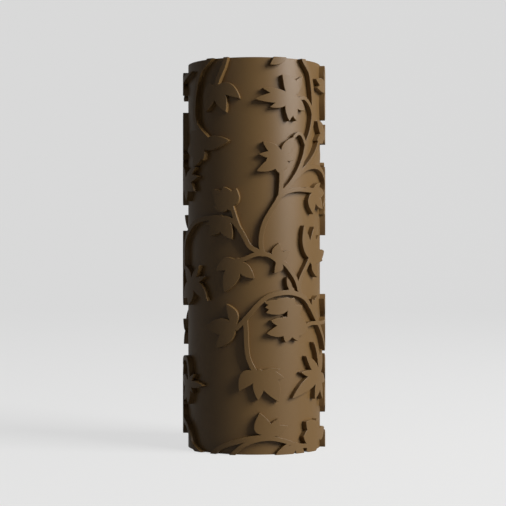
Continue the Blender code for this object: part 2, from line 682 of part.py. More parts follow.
def retaining_ring(name, lower, material, parent):
    """An open spring ring in the axle's groove, with a lug and a plier eye at each end."""
    inner = AXLE_RADIUS - RING_GROOVE_DEPTH + SEAT_GAP
    outer = inner + RING_WIDTH
    lug_outer = outer + RING_LUG_WIDTH
    lug_turn = 2 * RING_LUG_WIDTH / outer
    gap_turn = RING_LUG_WIDTH / outer / 2
    start = gap_turn
    end = math.tau - gap_turn

    def at(radius, turn):
        return Vector((radius * math.sin(turn), -radius * math.cos(turn)))

    arc = [start + lug_turn + (end - start - 2 * lug_turn) * step / RING_FACETS
           for step in range(RING_FACETS + 1)]
    lug = [lug_turn * step / LUG_FACETS for step in range(LUG_FACETS + 1)]
    outline = [at(lug_outer, start + turn) for turn in lug]
    outline += [at(outer, turn) for turn in arc]
    outline += [at(lug_outer, end - turn) for turn in reversed(lug)]
    outline += [at(inner, end)]
    outline += [at(inner, turn) for turn in reversed(arc)]
    outline += [at(inner, start)]
    eye_radius = (outer + lug_outer) / 2
    eyes = []
    for turn in (start + lug_turn / 2, end - lug_turn / 2):
        centre = at(eye_radius, turn)
        eyes.append([centre + Vector((math.cos(angle), math.sin(angle))) * RING_EYE_RADIUS
                     for angle in (math.tau * side / EYE_FACETS for side in range(EYE_FACETS))])
    points, faces = triangulate([outline] + eyes, 0.0)
    foot = ring_outer_face()
    if not lower:
        foot = SLEEVE_LENGTH - foot - RING_THICKNESS
    bm = bmesh.new()
    corners = [bm.verts.new((*point, foot)) for point in points]
    for face in faces:
        middle = middle_of(points, face)
        if inside(middle, outline) and not any(inside(middle, eye) for eye in eyes):
            bm.faces.new([corners[index] for index in face])
    bmesh.ops.delete(bm, geom=[v for v in bm.verts if not v.link_faces], context='VERTS')
    raised = bmesh.ops.extrude_face_region(bm, geom=bm.faces[:])
    lifted = [part for part in raised["geom"] if isinstance(part, bmesh.types.BMVert)]
    bmesh.ops.translate(bm, verts=lifted, vec=(0, 0, RING_THICKNESS))
    piece = link_piece(name, bm, material)
    piece.parent = parent


def joint_frame(name):
    """An empty on the roller's axis that carries the pieces of one moving body."""
    frame = bpy.data.objects.new(name, None)
    frame.empty_display_size = SLEEVE_RADIUS
    bpy.context.collection.objects.link(frame)
    return frame


def build():
    """Clear the scene and model the roller."""
    for leftover in list(bpy.data.objects):
        bpy.data.objects.remove(leftover, do_unlink=True)
    drum = joint_frame("drum_frame")
    axle = joint_frame("axle_frame")
    clay_brown = finish("sleeve_brown", (0.12, 0.065, 0.027), 0.6)
    tube_grey = finish("core_grey", (0.35, 0.36, 0.37), 0.5)
    cap_brown = finish("cap_brown", (0.09, 0.05, 0.022), 0.55)
    bush_cream = finish("bush_cream", (0.72, 0.68, 0.58), 0.4)
    steel = finish("axle_steel", (0.56, 0.57, 0.58), 0.3, 1.0)
    spring_steel = finish("spring_steel", (0.2, 0.2, 0.21), 0.35, 1.0)
    rubber = finish("grip_rubber", (0.02, 0.02, 0.02), 0.8)
    texture_sleeve(clay_brown, drum)
    core_tube(tube_grey, drum)
    axle_tube(steel, axle)
    for end, lower in (("upper", False), ("lower", True)):
        grip_ring(end + "_grip_ring", lower, rubber, drum)
        end_cap(end + "_end_cap", lower, cap_brown, drum)
        bush(end + "_bush", lower, bush_cream, drum)
        thrust_washer(end + "_thrust_washer", lower, steel, axle)
        retaining_ring(end + "_retaining_ring", lower, spring_steel, axle)


build()
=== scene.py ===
"""The looks of a texture roller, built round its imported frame.

The roller stands upright on its lower end: its axis runs along +Z, the origin is the centre
of its foot, and its front faces -Y. Lengths are in metres.
"""
from __future__ import annotations

import sys

import logging
import math
from dataclasses import dataclass, field
from enum import Enum
from typing import Any, Iterator, Mapping, Optional, Sequence, Union

import bmesh
import bpy
import numpy as np
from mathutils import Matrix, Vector
from mathutils.bvhtree import BVHTree
from mathutils.geometry import delaunay_2d_cdt

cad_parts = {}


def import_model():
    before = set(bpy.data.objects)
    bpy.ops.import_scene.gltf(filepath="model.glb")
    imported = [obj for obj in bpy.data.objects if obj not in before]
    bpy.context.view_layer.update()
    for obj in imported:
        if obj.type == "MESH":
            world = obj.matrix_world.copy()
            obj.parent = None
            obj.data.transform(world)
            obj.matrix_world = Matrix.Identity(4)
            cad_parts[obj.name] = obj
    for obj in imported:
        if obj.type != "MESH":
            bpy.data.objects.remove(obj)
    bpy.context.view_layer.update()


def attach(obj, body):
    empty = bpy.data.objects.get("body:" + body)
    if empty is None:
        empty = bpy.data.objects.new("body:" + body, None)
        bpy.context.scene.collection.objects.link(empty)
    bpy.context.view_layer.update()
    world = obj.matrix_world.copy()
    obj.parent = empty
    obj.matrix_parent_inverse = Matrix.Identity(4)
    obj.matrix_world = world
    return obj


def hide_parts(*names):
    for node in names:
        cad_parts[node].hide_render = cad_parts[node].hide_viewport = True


LOG = logging.getLogger("texture_roller")
MM = 0.001

Place = tuple[float, float]
Triple = tuple[float, float, float]
Colour = Triple
Profile = list[Triple]
Lobe = tuple[float, float, float, float]
Stem = tuple[float, Sequence[Place]]
Leaf = tuple[Place, Sequence[Lobe]]
Edge = tuple[int, int]
Key = Union[int, str]
Value = Union["Socket", float, int]


class Body(Enum):
    """The two bodies of the roller."""

    DRUM = "drum"
    AXLE = "axle"


class End(Enum):
    """The roller's two ends."""

    LOWER = "lower"
    UPPER = "upper"


# Trees of nodes


class Socket:
    """One output of a node, on which Python's signs for sums work."""

    def __init__(self, tree: NodeTree, node: bpy.types.Node, output: Key = 0) -> None:
        """Take an output of a node.

        Args:
            tree: the tree that holds the node.
            node: the node.
            output: the output's index, identifier or name.
        """
        self.tree = tree
        self.source = node
        self.link = NodeTree.pick(node.outputs, output)

    def output(self, name: Key) -> Socket:
        """Another output of the same node."""
        return Socket(self.tree, self.source, name)

    def __add__(self, other: Value) -> Socket:
        """The sum."""
        return self.tree.maths("ADD", self, other)

    def __radd__(self, other: Value) -> Socket:
        """The sum, from the right."""
        return self.tree.maths("ADD", other, self)

    def __sub__(self, other: Value) -> Socket:
        """The difference."""
        return self.tree.maths("SUBTRACT", self, other)

    def __rsub__(self, other: Value) -> Socket:
        """The difference, from the right."""
        return self.tree.maths("SUBTRACT", other, self)

    def __mul__(self, other: Value) -> Socket:
        """The product."""
        return self.tree.maths("MULTIPLY", self, other)

    def __rmul__(self, other: Value) -> Socket:
        """The product, from the right."""
        return self.tree.maths("MULTIPLY", other, self)

    def __truediv__(self, other: Value) -> Socket:
        """The quotient."""
        return self.tree.maths("DIVIDE", self, other)

    def __rtruediv__(self, other: Value) -> Socket:
        """The quotient, from the right."""
        return self.tree.maths("DIVIDE", other, self)

    def __pow__(self, other: Value) -> Socket:
        """The power."""
        return self.tree.maths("POWER", self, other)

    def __rpow__(self, other: Value) -> Socket:
        """The power, from the right."""
        return self.tree.maths("POWER", other, self)


class NodeTree:
    """A tree of nodes, for a material, the world or geometry."""

    def __init__(self, tree: bpy.types.NodeTree) -> None:
        """Wrap a tree of Blender's."""
        self.tree = tree

    @staticmethod
    def pick(sockets: Any, key: Key) -> bpy.types.NodeSocket:
        """Find one of a node's sockets by its index, identifier or name."""
        known = {socket.identifier: socket for socket in sockets}
        return known[key] if key in known else sockets[key]

    def feed(self, socket: bpy.types.NodeSocket, value: Any) -> None:
        """Give an input a value, or a link from another node.

        Args:
            socket: the input.
            value: the value, or the other node's output.
        """
        if isinstance(value, Socket):
            self.tree.links.new(value.link, socket)
        else:
            socket.default_value = value

    def node(self, kind: str, settings: Optional[Mapping[str, Any]] = None,
             inputs: Optional[Mapping[Key, Any]] = None, output: Key = 0) -> Socket:
        """Add a node.

        Args:
            kind: its type.
            settings: its own settings.
            inputs: what its inputs are fed.
            output: the output that is handed back.

        Returns:
            That output.
        """
        node = self.tree.nodes.new(kind)
        for name, value in (settings or {}).items():
            setattr(node, name, value)
        for key, value in (inputs or {}).items():
            self.feed(self.pick(node.inputs, key), value)
        return Socket(self, node, output)

    def maths(self, operation: str, *values: Value) -> Socket:
        """Add a Math node, with its operation's name and its operands."""
        return self.node("ShaderNodeMath", {"operation": operation}, dict(enumerate(values)))


class ShaderTree(NodeTree):
    """The nodes of one material, round its Principled BSDF."""

    def __init__(self, material: bpy.types.Material) -> None:
        """Start with a new material's own shader.

        Args:
            material: the material.
        """
        material.use_nodes = True
        super().__init__(material.node_tree)
        self.shader = self.tree.nodes["Principled BSDF"]

    def place(self) -> Socket:
        """The point's place on the object, in metres."""
        return self.node("ShaderNodeTexCoord", output="Object")

    def noise(self, place: Socket, size: float, detail: float = 2.0) -> Socket:
        """Add soft noise about 0.5, with lumps of a size in metres and finer layers."""
        return self.node("ShaderNodeTexNoise", None,
                         {"Vector": place, "Scale": 1.0 / size, "Detail": detail}, "Fac")

    def distance_from_axis(self, place: Socket) -> Socket:
        """How far a place lies from the roller's axis.

        Args:
            place: the place.

        Returns:
            The distance, in metres.
        """
        across = self.node("ShaderNodeSeparateXYZ", inputs={0: place})
        deep = across.output("Y")
        return (across * across + deep * deep) ** 0.5

    def mixed(self, factor: Value, first: Colour, second: Colour) -> Socket:
        """Mix two colours, from the first at 0 to the second at 1."""
        return self.node("ShaderNodeMix", {"data_type": "RGBA", "clamp_factor": True},
                         {"Factor_Float": factor, "A_Color": (*first, 1.0),
                          "B_Color": (*second, 1.0)}, "Result_Color")

    def bump(self, height: Socket, depth: float) -> Socket:
        """Turn a height between 0 and 1 into a normal, bumped to a depth in metres."""
        return self.node("ShaderNodeBump", None, {"Height": height, "Distance": depth}, "Normal")

    def surface(self, **inputs: Any) -> None:
        """Feed the shader's inputs, each named with underscores for its spaces."""
        for name, value in inputs.items():
            self.feed(self.shader.inputs[name.replace("_", " ")], value)


class GeometryTree(NodeTree):
    """A tree of geometry nodes with named inputs."""

    KINDS = {float: "NodeSocketFloat", int: "NodeSocketInt"}

    def __init__(self, name: str, sizes: Mapping[str, Union[int, float]]) -> None:
        """Start a tree.

        Args:
            name: its name.
            sizes: its named inputs and their first values.
        """
        super().__init__(bpy.data.node_groups.new(name, "GeometryNodeTree"))
        face = self.tree.interface
        face.new_socket("Geometry", in_out="OUTPUT", socket_type="NodeSocketGeometry")
        face.new_socket("Geometry", in_out="INPUT", socket_type="NodeSocketGeometry")
        self.identifiers: dict[str, str] = {}
        for label, value in sizes.items():
            socket = face.new_socket(label, in_out="INPUT", socket_type=self.KINDS[type(value)])
            socket.default_value = value
            self.identifiers[label] = socket.identifier
        socket = face.new_socket("Finish", in_out="INPUT", socket_type="NodeSocketMaterial")
        self.identifiers["Finish"] = socket.identifier
        self.given = self.node("NodeGroupInput", output="Geometry")

    def size(self, name: str) -> Socket:
        """A named input."""
        return self.given.output(self.identifiers[name])

    def close(self, geometry: Socket) -> None:
        """End the tree: real geometry, with the given finish.

        Args:
            geometry: what the tree has made.
        """
        real = self.node("GeometryNodeRealizeInstances", None, {"Geometry": geometry})
        dressed = self.node("GeometryNodeSetMaterial", None,
                            {"Geometry": real, "Material": self.size("Finish")})
        self.tree.links.new(dressed.link, self.tree.nodes.new("NodeGroupOutput").inputs[0])

    def made(self, name: str, mesh: bpy.types.Mesh, **values: Any) -> bpy.types.Object:
        """Run the tree on a mesh and keep the result as a plain mesh.

        Args:
            name: the new piece's name.
            mesh: what the tree starts from.
            values: the named inputs, with underscores for their spaces.

        Returns:
            The new piece.
        """
        piece = placed(name, mesh)
        modifier = piece.modifiers.new("Nodes", "NODES")
        modifier.node_group = self.tree
        for label, value in values.items():
            modifier[self.identifiers[label.replace("_", " ")]] = value
        return plain_mesh(piece)


def placed(name: str, data: Any) -> bpy.types.Object:
    """Put a new object in the scene.

    Args:
        name: its name.
        data: its mesh, light or camera.

    Returns:
        The object.
    """
    thing = bpy.data.objects.new(name, data)
    bpy.context.collection.objects.link(thing)
    return thing


def plain_mesh(piece: bpy.types.Object) -> bpy.types.Object:
    """Keep what an object's modifiers make as its plain mesh.

    Args:
        piece: the object.

    Returns:
        The same object, with no modifiers.
    """
    graph = bpy.context.evaluated_depsgraph_get()
    result = bpy.data.meshes.new_from_object(piece.evaluated_get(graph),
                                             preserve_all_data_layers=True, depsgraph=graph)
    before = piece.data
    piece.modifiers.clear()
    piece.data = result
    bpy.data.meshes.remove(before)
    result.name = piece.name
    return piece


# Finishes


@dataclass(frozen=True)
class Finish:
    """What every finish has: its name and its plain colour and roughness."""

    name: str
    colour: Colour
    roughness: float

    def tinted(self, share: float) -> Colour:
        """The colour, made lighter or darker by a share."""
        red, green, blue = (channel * share for channel in self.colour)
        return (red, green, blue)

    def mottled(self, tree: ShaderTree, factor: Socket, depth: float) -> Socket:
        """The colour, darker at 0 and lighter at 1 by a depth."""
        return tree.mixed(factor, self.tinted(1 - depth), self.tinted(1 + depth))

    def material(self) -> bpy.types.Material:
        """Make the finish's material.

        Returns:
            The material.
        """
        material = bpy.data.materials.new(self.name)
        material.diffuse_color = (*self.colour, 1.0)
        self.dress(ShaderTree(material))
        return material

    def dress(self, tree: ShaderTree) -> None:
        """Add the finish's nodes, which each kind of finish has of its own."""
        raise NotImplementedError(self.name)


@dataclass(frozen=True)
class MouldedFinish(Finish):
    """Matt moulded plastic: a fine even grain and a faint unevenness of colour."""

    cloud_size: float = 14 * MM
    cloud_depth: float = 0.05
    grain_size: float = 0.35 * MM
    grain_depth: float = 0.012 * MM
    fleck_size: float = 1.4 * MM
    fleck_share: float = 0.3
    unevenness: float = 0.06
    gloss: float = 0.45

    def dress(self, tree: ShaderTree) -> None:
        """Add the grain, the clouds and their small changes of gloss.

        Args:
            tree: the material's nodes.
        """
        place = tree.place()
        cloud = tree.noise(place, self.cloud_size, 3.0)
        grain = tree.noise(place, self.grain_size)
        fleck = tree.noise(place, self.fleck_size, 3.0)
        shade = cloud * (1 - self.fleck_share) + fleck * self.fleck_share
        tree.surface(Base_Color=self.mottled(tree, shade, self.cloud_depth),
                     Roughness=self.roughness + (cloud - 0.5) * self.unevenness,
                     Normal=tree.bump(grain, self.grain_depth), Specular_IOR_Level=self.gloss)


@dataclass(frozen=True)
class TurnedFinish(Finish):
    """A face cut on a lathe: fine rings round the axis."""

    metallic: float = 0.0
    ring_pitch: float = 0.16 * MM
    ring_depth: float = 0.003 * MM
    ring_drift: float = 2.0
    wear_size: float = 2.2 * MM
    drift_size: float = 9 * MM
    drift_depth: float = 0.07
    unevenness: float = 0.1

    def dress(self, tree: ShaderTree) -> None:
        """Add the tool's rings, and the wear that breaks them up.

        Args:
            tree: the material's nodes.
        """
        place = tree.place()
        reach = tree.distance_from_axis(place)
        wear = tree.noise(place, self.wear_size, 4.0)
        turns = reach * (math.tau / self.ring_pitch) + wear * self.ring_drift
        height = tree.maths("SINE", turns) * 0.5 + 0.5
        drift = tree.noise(place, self.drift_size)
        tree.surface(Base_Color=self.mottled(tree, drift, self.drift_depth),
                     Metallic=self.metallic,
                     Roughness=self.roughness + (wear - 0.5) * self.unevenness,
                     Normal=tree.bump(height, self.ring_depth))


@dataclass(frozen=True)
class RubberFinish(Finish):
    """Dull rubber with a little dust on it."""

    dust_size: float = 1.5 * MM
    dust_light: float = 2.0
    dust_depth: float = 0.01 * MM
    unevenness: float = 0.1

    def dress(self, tree: ShaderTree) -> None:
        """Add the dust.

        Args:
            tree: the material's nodes.
        """
        dust = tree.noise(tree.place(), self.dust_size, 4.0)
        tree.surface(Base_Color=tree.mixed(dust, self.colour, self.tinted(self.dust_light)),
                     Roughness=self.roughness + (dust - 0.5) * self.unevenness,
                     Normal=tree.bump(dust, self.dust_depth))


SLEEVE_BROWN = MouldedFinish("sleeve_brown", (0.185, 0.105, 0.036), 0.4)
CAP_BROWN = TurnedFinish("cap_brown", (0.120, 0.072, 0.034), 0.42)
CORE_GREY = MouldedFinish("core_grey", (0.35, 0.36, 0.37), 0.5)
BUSH_CREAM = TurnedFinish("bush_cream", (0.72, 0.68, 0.58), 0.32, ring_depth=0.001 * MM)
AXLE_STEEL = TurnedFinish("axle_steel", (0.56, 0.57, 0.58), 0.28, metallic=1.0)
SPRING_STEEL = TurnedFinish("spring_steel", (0.2, 0.2, 0.21), 0.34, metallic=1.0)
GRIP_RUBBER = RubberFinish("grip_rubber", (0.02, 0.02, 0.02), 0.8)
FINISHES = (SLEEVE_BROWN, CAP_BROWN, CORE_GREY, BUSH_CREAM, AXLE_STEEL, SPRING_STEEL, GRIP_RUBBER)


# The vine, unrolled. A place is degrees round from the front, to the right when positive, and
# 120ths of the sleeve's length, up from its foot. A stem is a share of the full width and its
# centre line. A leaf is its heart and its lobes, each with its tip's place, and its half width
# and bend as shares of its own length.

FRONT_STEMS: tuple[Stem, ...] = (
    (1.0, [(-30.1, 122.1), (-40.5, 118.8), (-47.5, 116.3), (-51.5, 113.2), (-54, 109.5),
     (-55.3, 105.5), (-54.6, 102), (-51.6, 99.6), (-47.1, 97.9), (-42, 96.3), (-36, 94)]),
    (1.0, [(-21, 122.5), (-23.5, 118.5), (-26.8, 115.5), (-30.1, 112.8), (-31.6, 110.8)]),
    (1.0, [(39.4, 122.4), (43.2, 119.3), (46.3, 117.8), (49.8, 116), (51.8, 113.1), (53.4, 109.5),
     (53.9, 106.5), (53.8, 103.5), (52.5, 100.5), (50, 97.5), (47, 95.3), (44.8, 93), (43.5, 91),
     (41.3, 88.8), (38.5, 86.7), (34.5, 84.2), (29.5, 81.8), (24.5, 79.8), (21, 78.4),
     (17.5, 76.1), (13, 73.4), (9, 70.8), (6.4, 68), (5.3, 65.5), (5.3, 63), (6.5, 60.5)]),
    (0.8, [(38.9, 107.9), (43.3, 108.1), (47.8, 107), (51.7, 105.1), (53.4, 103.2)]),
    (0.7, [(45, 93.6), (41, 96.6), (37, 97.2), (33.2, 96.2)]),
    (0.9, [(35.9, 84.4), (40, 85.6), (44.4, 86.9), (49.5, 88.6), (54.5, 90.5), (59.3, 92.7),
     (64.1, 95.5)]),
    (1.0, [(35.4, 84), (43, 86.3), (49.9, 87.2), (56.9, 87.5), (64.9, 87.1), (72.8, 85.9),
     (81.5, 83.5), (83.7, 80.4), (76.3, 75.7)]),
    (1.0, [(21.6, 88), (21.6, 84), (21.4, 81.5), (20.8, 78.5)]),
    (0.9, [(20.5, 78), (26, 79.3), (33, 80), (40, 80.2), (50, 80)]),
    (0.9, [(5.5, 60.8), (-2, 62.3), (-6.5, 64.8), (-12.3, 68.8), (-16.3, 73.1), (-18.6, 75.8)]),
    (1.0, [(5.5, 60.9), (-3, 62.6), (-7.5, 65.5), (-11.5, 68.1), (-16, 70.2), (-22, 71.2),
     (-30, 71.5), (-38, 71.4), (-47, 71.1), (-55, 70.2), (-63, 68.2), (-71.2, 65.7), (-75.4, 62.9),
     (-76.2, 59.6), (-75.4, 56.4)]),
    (0.9, [(-12, 58.4), (-6, 59.3), (0, 60.3), (6, 60.6), (12, 60.1), (18, 58.6)]),
    (0.9, [(18, 58.3), (24, 57.8), (29, 55.8), (33.9, 53.3), (37, 50.7), (38.9, 48.6)]),
    (1.0, [(-14, 38.2), (-9, 40), (-4, 42.2), (1.5, 44.7), (6.4, 46.5), (11.9, 47.9), (19.9, 48.7),
     (28, 48.9), (34.9, 48.5), (43.1, 47.3), (49.3, 45), (54.9, 42.4), (59.8, 40.2), (66.3, 37.6),
     (73.9, 34.6), (81.5, 31)]),
    (0.8, [(35.9, 37.8), (43.9, 38.6), (52, 39.3), (59.8, 39.3), (69.8, 39.3), (79.4, 39.5),
     (82.5, 40.3)]),
    (1.0, [(-7, 41), (-6.3, 37), (-6, 33.5), (-5, 30), (-2.5, 27.3), (1, 25)]),
    (0.9, [(37.2, 50), (39, 52.8), (42, 54.8), (46, 57), (51, 60)]),
    (1.0, [(-39, -2), (-30, 1.4), (-22, 2.9), (-13, 4), (-4, 4.9), (6, 5.4), (14, 5.5)]),
    (0.9, [(-22.8, -2), (-16.3, 0.4), (-10.9, 2.3), (-6, 3.4), (1, 4.5), (10, 5), (18, 4.7),
     (27, 3.7), (36, 2.4), (46, 2)]),
    (1.0, [(-64, 22), (-65.3, 24.9), (-67.2, 27), (-71.8, 28.3), (-80.6, 27.8), (-85.3, 26.5)]),
    (1.0, [(-82.3, 10.1), (-78.1, 8.8), (-69.5, 7.6), (-64.7, 5.8), (-61.6, 4), (-58.9, 1.9),
     (-52.7, 0.4), (-44.3, -1.1), (-39.2, -2.8)]),
)

FRONT_LEAVES: tuple[Leaf, ...] = (
    ((-46, 93.2), [(-19.6, 94.8, 0.2, 0.04), (-44.3, 89.2, 0.3, 0), (-57, 87.4, 0.3, 0),
     (-67, 92.5, 0.32, 0), (-60, 98.5, 0.4, 0), (-43.5, 97, 0.5, 0)]),
    ((-31.3, 111.2), [(-10.9, 107.4, 0.21, 0.11), (-22.5, 103.4, 0.24, 0),
     (-40.8, 103.8, 0.28, -0.1), (-43.5, 108.8, 0.4, 0)]),
    ((29.9, 108.2), [(0.5, 107.2, 0.14, 0), (6.4, 110.5, 0.12, 0), (12, 104.8, 0.16, 0.07),
     (28.4, 100.8, 0.24, 0), (34.9, 100.9, 0.2, 0), (43.9, 104.2, 0.26, 0),
     (22.1, 114.7, 0.34, -0.2), (41, 114.6, 0.22, 0)]),
    ((26, 122), [(12.5, 117.6, 0.25, 0.05)]),
    ((22, 90.3), [(1.8, 85.5, 0.2, 0.06), (3.4, 90.6, 0.16, 0), (6.6, 94.4, 0.22, 0),
     (8.6, 88.1, 0.36, 0), (33.2, 96.1, 0.24, 0), (32.9, 89, 0.24, 0), (19.1, 85, 0.5, 0)]),
    ((54, 79.7), [(54, 72.8, 0.3, -0.08), (72.2, 74.6, 0.25, 0), (43.9, 80.9, 0.14, -0.05),
     (77, 79.6, 0.18, 0), (66.3, 82.7, 0.2, 0)]),
    ((-19, 74.9), [(-14, 80.4, 0.34, -0.02), (-24.6, 80.9, 0.4, 0), (-34.2, 80.3, 0.3, 0.06),
     (-33.8, 75, 0.22, 0.08)]),
    ((-27, 71.2), [(-36.8, 66, 0.36, 0), (-17.4, 65, 0.3, 0), (-42.3, 69.4, 0.12, 0)]),
    ((-13, 58.2), [(-31.5, 55.4, 0.24, -0.1), (-24, 49, 0.25, 0), (0.3, 53.1, 0.25, -0.02)]),
    ((20, 58.6), [(19.8, 63.9, 0.34, 0.14), (15.7, 54.8, 0.34, 0.16), (29, 61.8, 0.26, 0)]),
    ((30.3, 49.4), [(26.1, 53.6, 0.18, 0)]),
    ((-15.1, 38.7), [(-22.2, 45.5, 0.22, -0.1), (-41.6, 38.5, 0.24, 0), (-32, 32.1, 0.22, 0.02)]),
    ((30, 39.4), [(12.6, 40.5, 0.22, 0), (9.4, 36.6, 0.22, 0.08), (25, 33.8, 0.34, 0),
     (36.8, 34.1, 0.3, 0), (41, 45, 0.36, 0.16), (47.5, 37.4, 0.42, 0), (29, 44.5, 0.25, 0),
     (22.5, 41.6, 0.28, 0)]),
    ((29, 44.8), [(7.5, 46.1, 0.17, 0), (8.2, 44.5, 0.2, 0), (9, 42.9, 0.21, 0),
     (17.5, 47, 0.3, 0), (23.5, 47.4, 0.5, 0), (33, 47.3, 0.5, 0)]),
    ((4, 24.8), [(-11.8, 19.2, 0.28, -0.16), (3, 16.5, 0.22, 0), (19.4, 16, 0.26, 0.08),
     (24, 23.2, 0.2, 0), (20.8, 25.9, 0.12, 0)]),
    ((64, 23), [(54.6, 33.5, 0.1, -0.14), (45.2, 29.4, 0.17, 0), (39.2, 24.6, 0.13, 0),
     (31, 16.8, 0.14, -0.06), (56.5, 16, 0.24, 0.06), (71.9, 15.4, 0.16, 0), (80, 21, 0.24, 0),
     (70, 31, 0.2, 0)]),
    ((61, 4), [(45, 9.4, 0.36, -0.05), (42, 5, 0.5, 0), (45.5, 0.4, 0.4, 0), (59.3, 9.9, 0.3, 0),
     (77, 6.5, 0.3, 0)]),
    ((13, 6.2), [(4.3, 12.8, 0.36, 0.16), (19.5, 10.9, 0.3, 0), (27, 8.6, 0.26, 0)]),
    ((23, -4.5), [(27, 3.3, 0.42, 0)]),
    ((34.2, 2.3), [(24.3, -0.4, 0.3, 0), (43.3, -1, 0.3, 0)]),
    ((-66, 20.6), [(-44.3, 20.3, 0.13, 0), (-55.7, 23.6, 0.16, 0), (-57.3, 17.8, 0.16, 0),
     (-65.8, 14.1, 0.26, 0), (-76, 15, 0.26, 0), (-84, 22, 0.26, 0)]),
    ((-60, 51.5), [(-48.6, 57.1, 0.16, 0), (-42, 53.7, 0.13, 0), (-39.7, 46.4, 0.2, 0.1),
     (-65, 44.8, 0.34, 0), (-80, 47, 0.24, 0), (-73, 57, 0.26, 0)]),
    ((-72, 83.6), [(-49.8, 84.3, 0.14, 0), (-53, 87.3, 0.14, 0), (-56, 80, 0.26, 0),
     (-70, 77, 0.3, 0), (-88, 80, 0.24, 0), (-84, 88, 0.26, 0)]),
    ((52.6, 58.5), [(42.8, 69.3, 0.17, 0.06), (55.5, 69, 0.17, 0), (64.1, 66.5, 0.2, 0),
     (77, 61.5, 0.2, 0), (60, 53.4, 0.24, 0)]),
    ((56.8, 43.8), [(52.6, 46.8, 0.35, 0), (60.2, 47.8, 0.3, 0)]),
)

SIDE_LEAVES: tuple[Leaf, ...] = (
    ((85, 112.5), [(58, 114.5, 0.15, 0), (60, 111.9, 0.14, 0), (82, 102.5, 0.22, 0),
     (80, 119.6, 0.3, 0), (104, 116, 0.24, 0), (103, 108, 0.24, 0)]),
    ((77, 97.4), [(60.5, 101.6, 0.26, 0), (60, 95.6, 0.26, 0), (90, 101.5, 0.24, 0),
     (92, 95.5, 0.24, 0)]),
    ((93, 76.5), [(82, 88, 0.2, 0), (76, 73, 0.2, 0), (88, 66.5, 0.22, 0), (106, 70, 0.22, 0)]),
    ((91, 21), [(80, 29.5, 0.22, 0), (78, 13, 0.22, 0), (92, 10.6, 0.22, 0), (106, 15, 0.2, 0)]),
    ((92, 41.5), [(78, 46.6, 0.22, 0), (90, 48, 0.3, 0), (90, 31, 0.2, 0), (104, 45, 0.22, 0)]),
    ((90, -2), [(82, 5.5, 0.24, 0), (100, 5, 0.24, 0)]),
    ((-90, 13.5), [(-79, 5.5, 0.22, 0), (-90, 4, 0.26, 0), (-92, 25.6, 0.2, 0),
     (-105, 12, 0.2, 0)]),
    ((-92, 55), [(-81, 49, 0.24, 0), (-92, 44.4, 0.24, 0), (-90, 68, 0.2, 0), (-105, 53, 0.2, 0)]),
    ((-92, 91), [(-82, 98.5, 0.22, 0), (-90, 105.3, 0.2, 0), (-80, 92, 0.26, 0),
     (-90, 76, 0.18, 0), (-106, 86, 0.2, 0)]),
    ((-91, 114.2), [(-57.5, 116.9, 0.06, 0), (-84, 110.4, 0.3, 0), (-92, 118, 0.4, 0),
     (-105, 112, 0.24, 0)]),
)


@dataclass(frozen=True)
class Vine:
    """The relief's pattern: the front, the leaves at the sides, and the back."""

    full_length: float = 120.0
    stems: Sequence[Stem] = FRONT_STEMS
    leaves: Sequence[Leaf] = FRONT_LEAVES
    side_leaves: Sequence[Leaf] = SIDE_LEAVES

    def at_the_back(self, place: Place) -> Place:
        """The place that the front's pattern takes at the back: turned half round and over."""
        return (180 - place[0], self.full_length - place[1])

    def all_stems(self) -> list[Stem]:
        """The stems of the front, and their copies at the back."""
        back = [(width, [self.at_the_back(place) for place in line]) for width, line in self.stems]
        return [*self.stems, *back]

    def all_leaves(self) -> list[Leaf]:
        """The leaves of the front and the sides, and the copies of the front's at the back."""
        back = [(self.at_the_back(heart), [(*self.at_the_back(lobe[:2]), *lobe[2:])
                                           for lobe in lobes]) for heart, lobes in self.leaves]
        return [*self.leaves, *self.side_leaves, *back]


